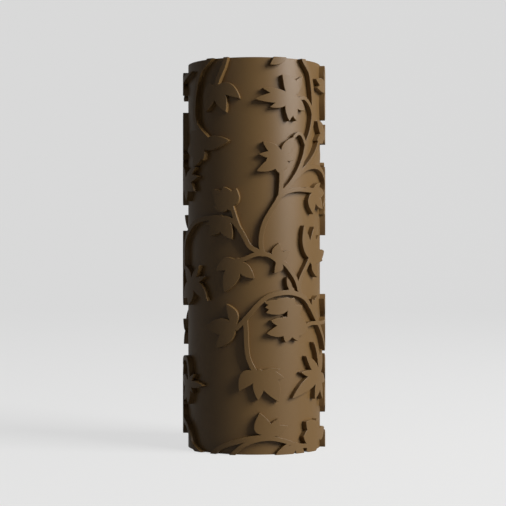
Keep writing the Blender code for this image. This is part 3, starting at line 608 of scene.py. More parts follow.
@dataclass
class ReliefSheet:
    """The sleeve before it is rolled: a flat sheet with the vine raised on it.

    The sheet lies in X and Z, and its relief rises towards -Y. Every raised edge is rounded.
    """

    length: float
    radius: float
    relief_height: float
    wall: float
    stem_width: float = 1.5 * MM
    heart_radius: float = 1.2 * MM
    edge_radius: float = 0.12 * MM
    closest: float = 0.01 * MM
    seam_reach: float = 0.12 * MM
    field_inset: float = 0.54 * MM
    folds: int = 120
    lobe_steps: int = 14
    stem_steps: int = 5
    heart_sides: int = 20
    search_steps: int = 12
    frame_steps: int = 4
    batch: int = 200
    fullest: float = 0.8
    fullness: float = 0.85
    depth_tolerance: float = 0.05
    folded_back: float = 0.2
    nearly_straight: float = 0.97
    least_spread: float = 0.3
    sharp_turn: float = 50.0
    vine: Vine = field(default_factory=Vine)

    def __post_init__(self) -> None:
        """Work out the sheet's half width and start its lists."""
        self.half = math.pi * self.radius
        self.vertices: list[Triple] = []
        self.faces: list[list[int]] = []
        self.leans: list[Triple] = []
        self.corners: dict[tuple[int, bool], int] = {}

    def unrolled(self, place: Sequence[float]) -> Vector:
        """A place of the vine as distances round and up the sleeve."""
        return Vector((math.radians(place[0]) * self.radius,
                       place[1] / self.vine.full_length * self.length))

    def fold_at(self, fold: int) -> float:
        """How far round a fold line lies."""
        return self.half * (2 * fold / self.folds - 1)

    def lobe(self, heart: Place, lobe: Lobe) -> list[Vector]:
        """Outline a lobe: pointed at both ends, fullest near its heart, bent to one side.

        Args:
            heart: the leaf's heart.
            lobe: the lobe's tip, half width and bend.

        Returns:
            The outline.
        """
        start, tip = self.unrolled(heart), self.unrolled(lobe[:2])
        along = tip - start
        across = Vector((-along.y, along.x))
        left, right = [], []
        for step in range(1, self.lobe_steps):
            share = step / self.lobe_steps
            middle = start + along * share + across * (4 * lobe[3] * share * (1 - share))
            width = lobe[2] * math.sin(math.pi * share ** self.fullest) ** self.fullness
            left.append(middle + across * width)
            right.append(middle - across * width)
        return [start, *left, tip, *reversed(right)]

    def spot(self, middle: Vector, radius: float) -> list[Vector]:
        """Outline a round spot."""
        return circle(middle, radius, self.heart_sides)

    def smooth_line(self, places: Sequence[Place]) -> list[Vector]:
        """Draw a smooth curve through a stem's places.

        Args:
            places: the places.

        Returns:
            Points along the curve.
        """
        knots = [self.unrolled(place) for place in places]
        padded = [knots[0], *knots, knots[-1]]
        line = []
        for before, start, end, after in zip(padded, padded[1:], padded[2:], padded[3:]):
            for step in range(self.stem_steps):
                t = step / self.stem_steps
                line.append(0.5 * (2 * start + (end - before) * t
                                   + (2 * before - 5 * start + 4 * end - after) * t ** 2
                                   + (3 * start - before - 3 * end + after) * t ** 3))
        return [*line, knots[-1]]

    def stem(self, width_share: float, places: Sequence[Place]) -> list[list[Vector]]:
        """Outline a stem: a chain of short pieces with round ends.

        Args:
            width_share: its share of the full width.
            places: its centre line.

        Returns:
            The outlines of the pieces and of the round ends.
        """
        line = self.smooth_line(places)
        half_width = width_share * self.stem_width / 2
        left, right = [], []
        for before, point, after in zip([line[0], *line], line, [*line[1:], line[-1]]):
            along = (after - before).normalized()
            across = Vector((-along.y, along.x)) * half_width
            left.append(point + across)
            right.append(point - across)
        pieces = [[left[i], left[i + 1], right[i + 1], right[i]] for i in range(len(line) - 1)]
        return [*pieces, self.spot(line[0], half_width), self.spot(line[-1], half_width)]

    def areas(self) -> list[list[Vector]]:
        """Outline all that is raised, with what crosses the seam drawn at both edges.

        Returns:
            The outlines, each running anticlockwise.
        """
        outlines = []
        for width_share, places in self.vine.all_stems():
            outlines += self.stem(width_share, places)
        for heart, lobes in self.vine.all_leaves():
            outlines.append(self.spot(self.unrolled(heart), self.heart_radius))
            outlines += [self.lobe(heart, lobe) for lobe in lobes]
        kept = []
        for outline in outlines:
            if sum(a.cross(b) for a, b in zip(outline, outline[1:] + outline[:1])) < 0:
                outline.reverse()
            for shift in (-2 * self.half, 0.0, 2 * self.half):
                moved = [point + Vector((shift, 0)) for point in outline]
                if any(abs(point.x) < self.half + self.stem_width for point in moved):
                    kept.append(moved)
        return kept

    def hold(self, points: Sequence[Vector], edges: Sequence[Edge]) -> None:
        """Keep the lines that tell what is raised, which lies on their left."""
        self.starts = np.array([points[start] for start, _ in edges])
        self.ends = np.array([points[end] for _, end in edges])

    def raised_at(self, places: np.ndarray) -> np.ndarray:
        """Tell which places are raised: those that at least one outline runs round.

        Args:
            places: the places.

        Returns:
            True for each raised place.
        """
        state = np.zeros(len(places), bool)
        batches = max(1, len(places) // self.batch)
        for chunk in np.array_split(np.argsort(places[:, 1]), batches):
            x, y = places[chunk, 0, None], places[chunk, 1, None]
            near = ((np.minimum(self.starts[:, 1], self.ends[:, 1]) <= y.max())
                    & (np.maximum(self.starts[:, 1], self.ends[:, 1]) >= y.min()))
            start, end = self.starts[near], self.ends[near]
            crosses = (start[:, 1] > y) != (end[:, 1] > y)
            rise = np.where(end[:, 1] == start[:, 1], 1.0, end[:, 1] - start[:, 1])
            reach = start[:, 0] + (y - start[:, 1]) / rise * (end[:, 0] - start[:, 0])
            turns = np.where(crosses & (reach > x), np.sign(rise), 0.0)
            state[chunk] = turns.sum(1) > 0
        return state

    def middles(self, found: Sequence[Any]) -> np.ndarray:
        """The middles of a triangulation's faces."""
        return np.array([sum((found[0][i] for i in face), Vector((0, 0))) / len(face)
                         for face in found[2]])

    def unite(self) -> None:
        """Unite the raised areas into one border, with points on the seam where it is near."""
        points, lines = joined(self.areas())
        self.hold(points, lines)
        found = delaunay_2d_cdt(points, lines, [], 0, self.closest)
        sides = set()
        for face, raised in zip(found[2], self.raised_at(self.middles(found))):
            if raised:
                sides.update(zip(face, [*face[1:], face[0]]))
        edges = sorted((start, end) for start, end in sides if (end, start) not in sides)
        used = {old: new for new, old in enumerate(sorted({start for start, _ in edges}))}
        self.border = [found[0][index] for index in used]
        for point in self.border:
            if abs(abs(point.x) - self.half) < self.seam_reach:
                point.x = math.copysign(self.half, point.x)
        self.edges = [(used[start], used[end]) for start, end in edges]
        self.hold(self.border, self.edges)
        upright = []
        for start, end in self.edges:
            a, b = self.border[start], self.border[end]
            upright += [(a.x, a.y, -MM), (b.x, b.y, -MM), (b.x, b.y, MM), (a.x, a.y, MM)]
        quads = [tuple(range(4 * i, 4 * i + 4)) for i in range(len(self.edges))]
        self.near = BVHTree.FromPolygons(upright, quads)

    def way_out(self, place: Vector) -> tuple[Vector, float]:
        """The way from a place to the border, and its length."""
        spot, _, _, distance = self.near.find_nearest((place.x, place.y, 0.0))
        return Vector((spot.x - place.x, spot.y - place.y)), distance

    def levels(self) -> Place:
        """How far from the border the rounding of a raised edge bends, and where it ends."""
        return (self.edge_radius * (1 - math.cos(math.pi / 4)), self.edge_radius)

    def at_depth(self, depth: float, places: Sequence[Vector]) -> list[Vector]:
        """Keep the places that the border comes as near to as a depth, and no nearer."""
        return [place for place in places
                if abs(self.way_out(place)[1] - depth) < self.depth_tolerance * depth]

    def rounding_points(self) -> list[Vector]:
        """Place points where the rounding of the raised edges bends and where it ends.

        Returns:
            The points, all on the raised side.
        """
        inward: dict[int, list[Vector]] = {}
        for start, end in self.edges:
            along = self.border[end] - self.border[start]
            if along.length > 0:
                normal = Vector((-along.y, along.x)).normalized()
                inward.setdefault(start, []).append(normal)
                inward.setdefault(end, []).append(normal)
        points = []
        for index, normals in inward.items():
            corner, middle = self.border[index], sum(normals, Vector((0, 0)))
            if middle.length < self.folded_back:
                continue
            spread = middle.length / len(normals)
            middle.normalize()
            for depth in self.levels():
                trials = [middle * depth]
                if spread < self.nearly_straight:
                    trials = [middle * (depth / max(spread, self.least_spread)), middle * depth]
                    trials += [normal * depth for normal in normals]
                good = self.at_depth(depth, [corner + trial for trial in trials])
                further = [corner + middle * (depth * (1 + step / self.search_steps))
                           for step in range(3 * self.search_steps)]
                points += good or self.at_depth(depth, further)[:1]
        return points

    def crossings(self) -> Iterator[tuple[float, np.ndarray, np.ndarray]]:
        """Find the border edges that cross each fold line.

        Yields:
            The fold line's place, and where the edges start and end.
        """
        for fold in range(1, self.folds):
            x = self.fold_at(fold)
            crossed = (self.starts[:, 0] > x) != (self.ends[:, 0] > x)
            yield x, self.starts[crossed], self.ends[crossed]

    def crossing_points(self) -> list[Vector]:
        """Place the rounding's points where the fold lines meet the border.

        Returns:
            The points, all on the raised side.
        """
        points = []
        for x, starts, ends in self.crossings():
            for start, end in zip(starts, ends):
                met = Vector(start).lerp(Vector(end), (x - start[0]) / (end[0] - start[0]))
                inward = Vector((start[1] - end[1], end[0] - start[0])).normalized()
                for depth in self.levels():
                    points += self.at_depth(depth, [met + inward * depth])
        return points

    def frame_lines(self) -> list[tuple[Vector, Vector]]:
        """The sheet's foot, its head and its left and right edges."""
        corners = [Vector((x, y)) for x in (-self.half, self.half) for y in (0, self.length)]
        return [(corners[a], corners[b]) for a, b in ((0, 2), (1, 3), (0, 1), (2, 3))]

    def frame_points(self) -> list[Vector]:
        """Place points on the sheet's frame, at each fold and where a rounding crosses it.

        Returns:
            The points.
        """
        points = [Vector((self.fold_at(fold), height))
                  for fold in range(1, self.folds) for height in (0.0, self.length)]
        for start, end in self.frame_lines():
            count = math.ceil(self.frame_steps * (end - start).length / self.edge_radius)
            line = [start.lerp(end, step / count) for step in range(count + 1)]
            raised = self.raised_at(np.array(line))
            depths = [self.way_out(place)[1] for place in line]
            for step in range(count):
                first, second = depths[step], depths[step + 1]
                for level in self.levels():
                    if raised[step] and raised[step + 1] and (first < level) != (second < level):
                        share = (level - first) / (second - first)
                        points.append(line[step].lerp(line[step + 1], share))
        return points

    def fold_lines(self) -> list[tuple[Vector, Vector]]:
        """The parts of the fold lines that lie on the low ground.

        Returns:
            The parts.
        """
        parts = []
        for x, start, end in self.crossings():
            share = (x - start[:, 0]) / (end[:, 0] - start[:, 0])
            met = start[:, 1] + share * (end[:, 1] - start[:, 1])
            stops = [0.0, *sorted(y for y in met if 0 < y < self.length), self.length]
            parts += [(Vector((x, low)), Vector((x, high))) for low, high in zip(stops, stops[1:])
                      if high - low > 4 * self.closest]
        raised = self.raised_at(np.array([(low + high) / 2 for low, high in parts]))
        return [part for part, up in zip(parts, raised) if not up]

    def field_points(self) -> list[Vector]:
        """Place points over the raised areas, away from their rounded edges.

        Returns:
            The points.
        """
        rows = round(self.length / (2 * self.half / self.folds))
        places = [Vector((self.fold_at(fold), self.length * (row + 0.5 * (fold % 2)) / rows))
                  for fold in range(1, self.folds) for row in range(1, rows)]
        raised = self.raised_at(np.array(places))
        return [place for place, up in zip(places, raised)
                if up and self.way_out(place)[1] > self.field_inset]

    def seam_twins(self) -> dict[int, int]:
        """The point on the sheet's left edge that each point on its right edge meets.

        Returns:
            For each point on the right edge, the one on the left.
        """
        left, right = ([i for i, point in enumerate(self.points)
                        if abs(point.x - edge) < 2 * self.closest]
                       for edge in (-self.half, self.half))
        return {index: min(left, key=lambda i: abs(self.points[i].y - self.points[index].y))
                for index in right}

    def divide(self) -> None:
        """Divide the sheet into faces, each raised or low."""
        points = [*self.border, *self.rounding_points(), *self.crossing_points(),
                  *self.frame_points(), *self.field_points()]
        lines = list(self.edges)
        for start, end in [*self.frame_lines(), *self.fold_lines()]:
            lines.append((len(points), len(points) + 1))
            points += [start, end]
        found = delaunay_2d_cdt(points, lines, [], 0, self.closest)
        self.points = found[0]
        middles = self.middles(found)
        twins = self.seam_twins()
        self.sheet: list[tuple[list[int], bool]] = []
        self.edge_states: dict[Edge, bool] = {}
        for face, middle, raised in zip(found[2], middles, self.raised_at(middles)):
            if abs(middle[0]) < self.half and 0 < middle[1] < self.length:
                face = [twins.get(index, index) for index in face]
                self.sheet.append((face, bool(raised)))
                for edge in zip(face, face[1:] + face[:1]):
                    self.edge_states[edge] = bool(raised)

    def corner(self, index: int, raised: bool) -> int:
        """The vertex at a point of the sheet.

        Args:
            index: the point.
            raised: whether the raised or the low one of the two that it may have.

        Returns:
            The vertex's index.
        """
        if (index, raised) not in self.corners:
            point = self.points[index]
            height = self.height_of(index) if raised else 0.0
            self.corners[index, raised] = len(self.vertices)
            self.vertices.append((point.x, -height, point.y))
        return self.corners[index, raised]

    def height_of(self, index: int) -> float:
        """The height of a raised point, lower where its edge is rounded.

        Args:
            index: the point.

        Returns:
            The height over the low ground.
        """
        left = self.edge_radius
        if index not in self.wall_ways:
            left = max(0.0, self.edge_radius - self.way_out(self.points[index])[1])
        return self.relief_height - self.edge_radius + math.sqrt(self.edge_radius ** 2 - left ** 2)

    def lean_of(self, index: int, raised: bool) -> Triple:
        """The direction that the skin faces at a point.

        Args:
            index: the point.
            raised: whether it is the raised or the low skin.

        Returns:
            How much it faces round, up and out.
        """
        if raised and index in self.wall_ways:
            way = sum(self.wall_ways[index], Vector((0, 0)))
            way.normalize()
            return (way.x, way.y, 0.0)
        way, distance = self.way_out(self.points[index])
        side = max(0.0, 1 - distance / self.edge_radius) if raised else 0.0
        if side == 0 or way.length == 0:
            return (0.0, 0.0, 1.0)
        way = way.normalized() * side
        return (way.x, way.y, math.sqrt(1 - side ** 2))

    def wall_lean(self, index: int, own: Vector) -> Triple:
        """The direction that a wall faces at one of its two ends.

        Args:
            index: the end's point.
            own: the wall's own direction.

        Returns:
            The mean of the walls that meet there, or the wall's own at a sharp corner.
        """
        ways = self.wall_ways[index]
        if all(way.angle(own) < math.radians(self.sharp_turn) for way in ways):
            own = sum(ways, Vector((0, 0))).normalized()
        return (own.x, own.y, 0.0)

    def add_face(self, corners: Sequence[int], leans: Sequence[Triple]) -> None:
        """Add a face and the direction that it faces at each corner."""
        self.faces.append(list(corners))
        self.leans += leans

    def lay_skin(self) -> None:
        """Lay the outer skin: the ground, the raised areas and their walls."""
        self.unite()
        self.divide()
        walls = [(start, end) for (start, end), raised in self.edge_states.items()
                 if raised and self.edge_states.get((end, start)) is False]
        self.wall_ways: dict[int, list[Vector]] = {}
        ways = []
        for start, end in walls:
            along = self.points[end] - self.points[start]
            if abs(along.x) > self.half:
                along.x -= math.copysign(2 * self.half, along.x)
            ways.append(Vector((along.y, -along.x)).normalized())
            for index in (start, end):
                self.wall_ways.setdefault(index, []).append(ways[-1])
        for face, raised in self.sheet:
            self.add_face([self.corner(index, raised) for index in face],
                          [self.lean_of(index, raised) for index in face])
        for (start, end), way in zip(walls, ways):
            first, second = self.wall_lean(start, way), self.wall_lean(end, way)
            self.add_face(self.rim(start, end), [first, second, second, first])
        crowded = sum(1 for meeting in self.wall_ways.values() if len(meeting) > 2)
        LOG.info("relief: %d faces, %d walls, %d crowded corners", len(self.faces), len(walls),
                 crowded)

    def rim(self, start: int, end: int) -> list[int]:
        """The corners of an upright face along an edge, from the low ground to the raised."""
        return [self.corner(start, False), self.corner(end, False), self.corner(end, True),
                self.corner(start, True)]

    def close_end(self, height: float) -> range:
        """Close one end of the sheet between its skin and the bore.

        Args:
            height: the end's height.

        Returns:
            The bore's vertices at that end, one for each fold.
        """
        bore = range(len(self.vertices), len(self.vertices) + self.folds)
        self.vertices += [(self.fold_at(fold), self.wall, height) for fold in range(self.folds)]
        order = 1 if height == 0 else -1
        lean = (0.0, -float(order), 0.0)
        spans: dict[int, list[tuple[float, int, int]]] = {}
        for (start, end), raised in self.edge_states.items():
            far_off = abs(self.points[start].y - height) > self.length / 2
            if far_off or (end, start) in self.edge_states:
                continue
            left, right = (start, end)[::order]
            x, reach = self.points[left].x, self.points[right].x
            if reach < x:
                reach += 2 * self.half
            fold = int(((x + reach) / 2 / self.half + 1) / 2 * self.folds)
            spans.setdefault(fold, []).append((x, left, right))
            if raised:
                self.add_face(self.rim(left, right)[::order], [lean] * 4)
        for fold, span in spans.items():
            span.sort()
            corners = [span[0][1], *(right for _, _, right in span)]
            face = [bore[fold], bore[(fold + 1) % self.folds]]
            face += [self.corner(index, False) for index in reversed(corners)]
            self.add_face(face[::order], [lean] * len(face))
        return bore

    def mesh(self) -> bpy.types.Mesh:
        """Make the flat sheet's mesh, closed but for the roll itself.

        Returns:
            The mesh, with the direction that it faces kept at each corner of its faces.
        """
        self.lay_skin()
        foot, head = self.close_end(0.0), self.close_end(self.length)
        for fold in range(self.folds):
            after = (fold + 1) % self.folds
            self.add_face([foot[fold], head[fold], head[after], foot[after]],
                          [(0.0, 0.0, -1.0)] * 4)
        mesh = bpy.data.meshes.new("relief_sheet")
        mesh.from_pydata(self.vertices, [], self.faces)
        lean = mesh.attributes.new("lean", "FLOAT_VECTOR", "CORNER")
        lean.data.foreach_set("vector", np.array(self.leans, np.float32).ravel())
        return mesh


def circle(middle: Vector, radius: float, sides: int) -> list[Vector]:
    """Points round a circle, anticlockwise."""
    turns = [math.tau * side / sides for side in range(sides)]
    return [middle + radius * Vector((math.cos(turn), math.sin(turn))) for turn in turns]


def joined(loops: Sequence[Sequence[Vector]]) -> tuple[list[Vector], list[Edge]]:
    """Join closed lines into one list of points and one of edges.

    Args:
        loops: the lines.

    Returns:
        All their points, and the edges between them.
    """
    points: list[Vector] = []
    edges: list[Edge] = []
    for loop in loops:
        indices = list(range(len(points), len(points) + len(loop)))
        edges += zip(indices, indices[1:] + indices[:1])
        points += loop
    return points, edges


def rolling_tree(radius: float, relief_height: float) -> GeometryTree:
    """Make the tree that rolls a flat sheet round the roller's axis.

    Args:
        radius: the radius over the relief, which sets how far the sheet turns.
        relief_height: the height of the relief.

    Returns:
        The tree.
    """
    tree = GeometryTree("roll_sheet", {"Sleeve Radius": radius, "Relief Height": relief_height})
    flat = tree.node("ShaderNodeSeparateXYZ", None, {0: tree.node("GeometryNodeInputPosition")})
    sleeve = tree.size("Sleeve Radius")
    angle = flat / sleeve
    reach = sleeve - tree.size("Relief Height") - flat.output("Y")
    rolled = tree.node("ShaderNodeCombineXYZ", None, {
        "X": reach * tree.maths("SINE", angle),
        "Y": 0.0 - reach * tree.maths("COSINE", angle),
        "Z": flat.output("Z"),
    })
    tree.close(tree.node("GeometryNodeSetPosition", None,
                         {"Geometry": tree.given, "Position": rolled}))
    return tree


def lathe_tree() -> GeometryTree:
    """Make the tree that turns a closed profile round the roller's axis.

    The profile lies in X and Z. Each of its points has its own rounding.

    Returns:
        The tree.
    """
    tree = GeometryTree("lathe", {"Turn Radius": 0.01, "Segments": 128, "Rounding Steps": 3})
    flat = tree.node("ShaderNodeSeparateXYZ", None, {0: tree.node("GeometryNodeInputPosition")})
    radius = tree.size("Turn Radius")
    laid = tree.node("ShaderNodeCombineXYZ", None,
                     {"X": flat - radius, "Y": 0.0 - flat.output("Z")})
    profile = tree.node("GeometryNodeSetPosition", None,
                        {"Geometry": tree.given, "Position": laid})
    profile = tree.node("GeometryNodeMeshToCurve", None, {"Mesh": profile})
    rounding = tree.node("GeometryNodeInputNamedAttribute", {"data_type": "FLOAT"},
                         {"Name": "rounding"}, "Attribute")
    profile = tree.node("GeometryNodeFilletCurve", {"mode": "POLY"},
                        {"Curve": profile, "Count": tree.size("Rounding Steps"),
                         "Radius": rounding, "Limit Radius": True})
    path = tree.node("GeometryNodeCurvePrimitiveCircle", {"mode": "RADIUS"},
                     {"Resolution": tree.size("Segments"), "Radius": radius})
    upright = tree.node("GeometryNodeSetCurveNormal", {"mode": "Z_UP"}, {"Curve": path})
    turned = tree.node("GeometryNodeCurveToMesh", None,
                       {"Curve": upright, "Profile Curve": profile})
    tree.close(tree.node("GeometryNodeSetShadeSmooth", None, {"Geometry": turned}))
    return tree


class Workshop:
    """Makes the roller's pieces and sets them on their bodies."""

    def __init__(self) -> None:
        """Make what the pieces share, and a list for the finished ones."""
        self.lathe = lathe_tree()
        self.materials = {finish.name: finish.material() for finish in FINISHES}
        self.pieces = bpy.data.collections.new("pieces")

    def settle(self, piece: bpy.types.Object, body: Body, node: str) -> None:
        """Set a finished piece on its body in the place of its plain solid.

        Args:
            piece: the piece.
            body: the body that carries it.
            node: the plain solid that it stands for.
        """
        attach(piece, body.value)
        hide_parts(node)
        self.pieces.objects.link(piece)
        LOG.info("%s: %d faces on %s", piece.name, len(piece.data.polygons), body.value)

    def turned(self, node: str, profile: Sequence[Triple], body: Body, finish: Finish,
               segments: int = 128) -> None:
        """Turn a closed profile.

        Args:
            node: the plain solid that the piece stands for.
            profile: its corners: radius, height and rounding.
            body: the body that carries it.
            finish: its finish.
            segments: how many sides it has round the axis.
        """
        mesh = bpy.data.meshes.new("profile")
        loop = [(i, (i + 1) % len(profile)) for i in range(len(profile))]
        mesh.from_pydata([(radius, 0.0, height) for radius, height, _ in profile], loop, [])
        rounding = mesh.attributes.new("rounding", "FLOAT", "POINT")
        rounding.data.foreach_set("value", [corner[2] for corner in profile])
        piece = self.lathe.made(node + "_piece", mesh, Turn_Radius=profile[0][0],
                                Segments=segments, Finish=self.materials[finish.name])
        bm = bmesh.new()
        bm.from_mesh(piece.data)
        bmesh.ops.recalc_face_normals(bm, faces=bm.faces)
        bm.to_mesh(piece.data)
        bm.free()
        weigh_normals(piece)
        self.settle(piece, body, node)


def weigh_normals(piece: bpy.types.Object, weight: int = 90) -> None:
    """Shade a piece smooth, its wide faces flat and its small roundings soft.

    Args:
        piece: the piece.
        weight: how much more its wide faces count, 50 being not at all.
    """
    piece.data.shade_smooth()
    weighted = piece.modifiers.new("Weighted", "WEIGHTED_NORMAL")
    weighted.mode, weighted.weight = "FACE_AREA", weight
    plain_mesh(piece)


# The pieces


@dataclass
class RollerSizes:
    """The sizes that the roller's pieces share."""

    length: float = 120 * MM
    sleeve_radius: float = 22.5 * MM
    relief_height: float = 1.7 * MM
    sleeve_wall: float = 2.6 * MM
    gap: float = 0.3 * MM
    axle_radius: float = 5 * MM
    bush_wall: float = 1.7 * MM
    bush_flange: float = 2 * MM
    axle_recess: float = 1.5 * MM
    ring_groove_inset: float = 0.9 * MM
    ring_groove_depth: float = 0.8 * MM
    ring_thickness: float = 1 * MM
    washer_thickness: float = 1 * MM

    def __post_init__(self) -> None:
        """Work out what follows: radii, and how deep the outer faces lie from an end."""
        self.sleeve_bore = self.sleeve_radius - self.relief_height - self.sleeve_wall
        self.core_radius = self.sleeve_bore - self.gap
        self.bush_bore = self.axle_radius + self.gap
        self.bush_radius = self.bush_bore + self.bush_wall
        self.ring_face = self.axle_recess + self.ring_groove_inset + self.gap
        self.washer_face = self.ring_face + self.ring_thickness + self.gap
        self.bush_face = self.washer_face + self.washer_thickness + self.gap

    def at(self, end: End, profile: Profile) -> Profile:
        """Place a profile at an end, from which its depths are measured inwards.

        Args:
            end: the end.
            profile: radius, depth and rounding of each corner.

        Returns:
            Radius, height and rounding of each corner.
        """
        if end is End.LOWER:
            return list(profile)
        return [(radius, self.length - depth, rounding) for radius, depth, rounding in profile]


@dataclass
class TextureSleeve:
    """The sleeve with the raised vine."""

    sizes: RollerSizes

    def build(self, shop: Workshop) -> None:
        """Make the flat relief, roll it and dress it.

        Args:
            shop: the workshop.
        """
        radius, height = self.sizes.sleeve_radius, self.sizes.relief_height
        sheet = ReliefSheet(self.sizes.length, radius, height, self.sizes.sleeve_wall)
        piece = rolling_tree(radius, height).made(
            "texture_sleeve_piece", sheet.mesh(), Sleeve_Radius=radius, Relief_Height=height,
            Finish=shop.materials[SLEEVE_BROWN.name])
        self.shade(piece.data)
        shop.settle(piece, Body.DRUM, "texture_sleeve")

    def shade(self, mesh: bpy.types.Mesh) -> None:
        """Give the rolled sheet the directions that it was made with.

        Args:
            mesh: the rolled mesh.
        """
        lean = np.empty(len(mesh.loops) * 3, np.float32)
        mesh.attributes["lean"].data.foreach_get("vector", lean)
        lean = lean.reshape(-1, 3)
        places = np.empty(len(mesh.vertices) * 3, np.float32)
        mesh.vertices.foreach_get("co", places)
        owners = np.empty(len(mesh.loops), np.int32)
        mesh.loops.foreach_get("vertex_index", owners)
        out = places.reshape(-1, 3)[owners]
        out[:, 2] = 0
        out /= np.linalg.norm(out, axis=1, keepdims=True)
        around = np.stack([-out[:, 1], out[:, 0], out[:, 2]], 1)
        normals = around * lean[:, :1] + out * lean[:, 2:]
        normals[:, 2] += lean[:, 1]
        mesh.attributes.remove(mesh.attributes["lean"])
        mesh.shade_smooth()
        mesh.normals_split_custom_set(normals.tolist())


@dataclass
class DrumInside:
    """What carries the sleeve: the core tube, its grip rings, the caps and the bushes."""

    sizes: RollerSizes
    core_wall: float = 2.4 * MM
    groove_depth: float = 1.6 * MM
    groove_width: float = 2.4 * MM
    groove_inset: float = 20 * MM
    cap_recess: float = 1 * MM
    cap_flange: float = 3 * MM
    cap_depth: float = 16 * MM
    cap_wall: float = 1.4 * MM
    cap_chamfer: float = 0.8 * MM
    cap_segments: int = 160
    flange_thickness: float = 1.5 * MM
    bush_length: float = 11 * MM
    soft_edge: float = 0.25 * MM
    fine_edge: float = 0.12 * MM
    grip_ring_sides: int = 16

    def build(self, shop: Workshop) -> None:
        """Make all the pieces.

        Args:
            shop: the workshop.
        """
        at = self.sizes.at
        shop.turned("core_tube", self.core_profile(), Body.DRUM, CORE_GREY)
        for end in End:
            shop.turned(end.value + "_grip_ring", at(end, self.grip_ring_profile()), Body.DRUM,
                        GRIP_RUBBER)
            shop.turned(end.value + "_end_cap", at(end, self.cap_profile()), Body.DRUM,
                        CAP_BROWN, self.cap_segments)
            shop.turned(end.value + "_bush", at(end, self.bush_profile()), Body.DRUM, BUSH_CREAM)

    def core_profile(self) -> Profile:
        """Draw the core tube: a plain tube with a groove near each end.

        Returns:
            The profile.
        """
        outer, edge = self.sizes.core_radius, self.fine_edge
        bore, floor = outer - self.core_wall, outer - self.groove_depth
        foot = self.cap_recess + self.cap_flange + self.sizes.gap
        near, far = self.groove_inset, self.groove_inset + self.groove_width
        lower = [(bore, foot, edge), (outer, foot, edge), (outer, near, edge),
                 (floor, near, edge), (floor, far, edge), (outer, far, edge)]
        return [*lower, *self.sizes.at(End.UPPER, lower)[::-1]]

    def grip_ring_profile(self) -> Profile:
        """Draw a grip ring: round, in the middle of its groove.

        Returns:
            The profile.
        """
        floor = self.sizes.core_radius - self.groove_depth
        radius = (self.sizes.sleeve_bore - floor - 2 * self.sizes.gap) / 2
        middle = floor + self.sizes.gap + radius
        depth = self.groove_inset + self.groove_width / 2
        turns = [math.tau * side / self.grip_ring_sides for side in range(self.grip_ring_sides)]
        return [(middle + radius * math.cos(turn), depth + radius * math.sin(turn), 0.0)
                for turn in turns]

    def cap_profile(self) -> Profile:
        """Draw an end cap: flange, spigot, web and the boss round the bush.

        Returns:
            The profile.
        """
        sizes, soft, fine = self.sizes, self.soft_edge, self.fine_edge
        flange = sizes.core_radius
        spigot = flange - self.core_wall - sizes.gap
        lining = spigot - self.cap_wall
        seat = sizes.bush_radius + sizes.gap
        well, boss = seat + sizes.bush_flange, seat + self.cap_wall
        face, shoulder = self.cap_recess, self.cap_recess + self.cap_flange
        floor = sizes.bush_face + self.flange_thickness + sizes.gap
        web = floor + self.cap_wall
        boss_end = sizes.bush_face + self.bush_length - sizes.gap
        return [(well, face, soft), (flange - self.cap_chamfer, face, soft),
                (flange, face + self.cap_chamfer, soft), (flange, shoulder, fine),
                (spigot, shoulder, fine), (spigot, self.cap_depth, fine),
                (lining, self.cap_depth, fine), (lining, web, soft), (boss, web, soft),
                (boss, boss_end, fine), (seat, boss_end, fine), (seat, floor, fine),
                (well, floor, fine)]

    def bush_profile(self) -> Profile:
        """Draw a bush: a flange in the cap's well and a barrel in its boss.

        Returns:
            The profile.
        """
        sizes, soft, fine = self.sizes, self.soft_edge, self.fine_edge
        face, back = sizes.bush_face, sizes.bush_face + self.flange_thickness
        flange, tail = sizes.bush_radius + sizes.bush_flange, face + self.bush_length
        return [(sizes.bush_bore, face, soft), (flange, face, soft), (flange, back, fine),
                (sizes.bush_radius, back, fine), (sizes.bush_radius, tail, soft),
                (sizes.bush_bore, tail, fine)]


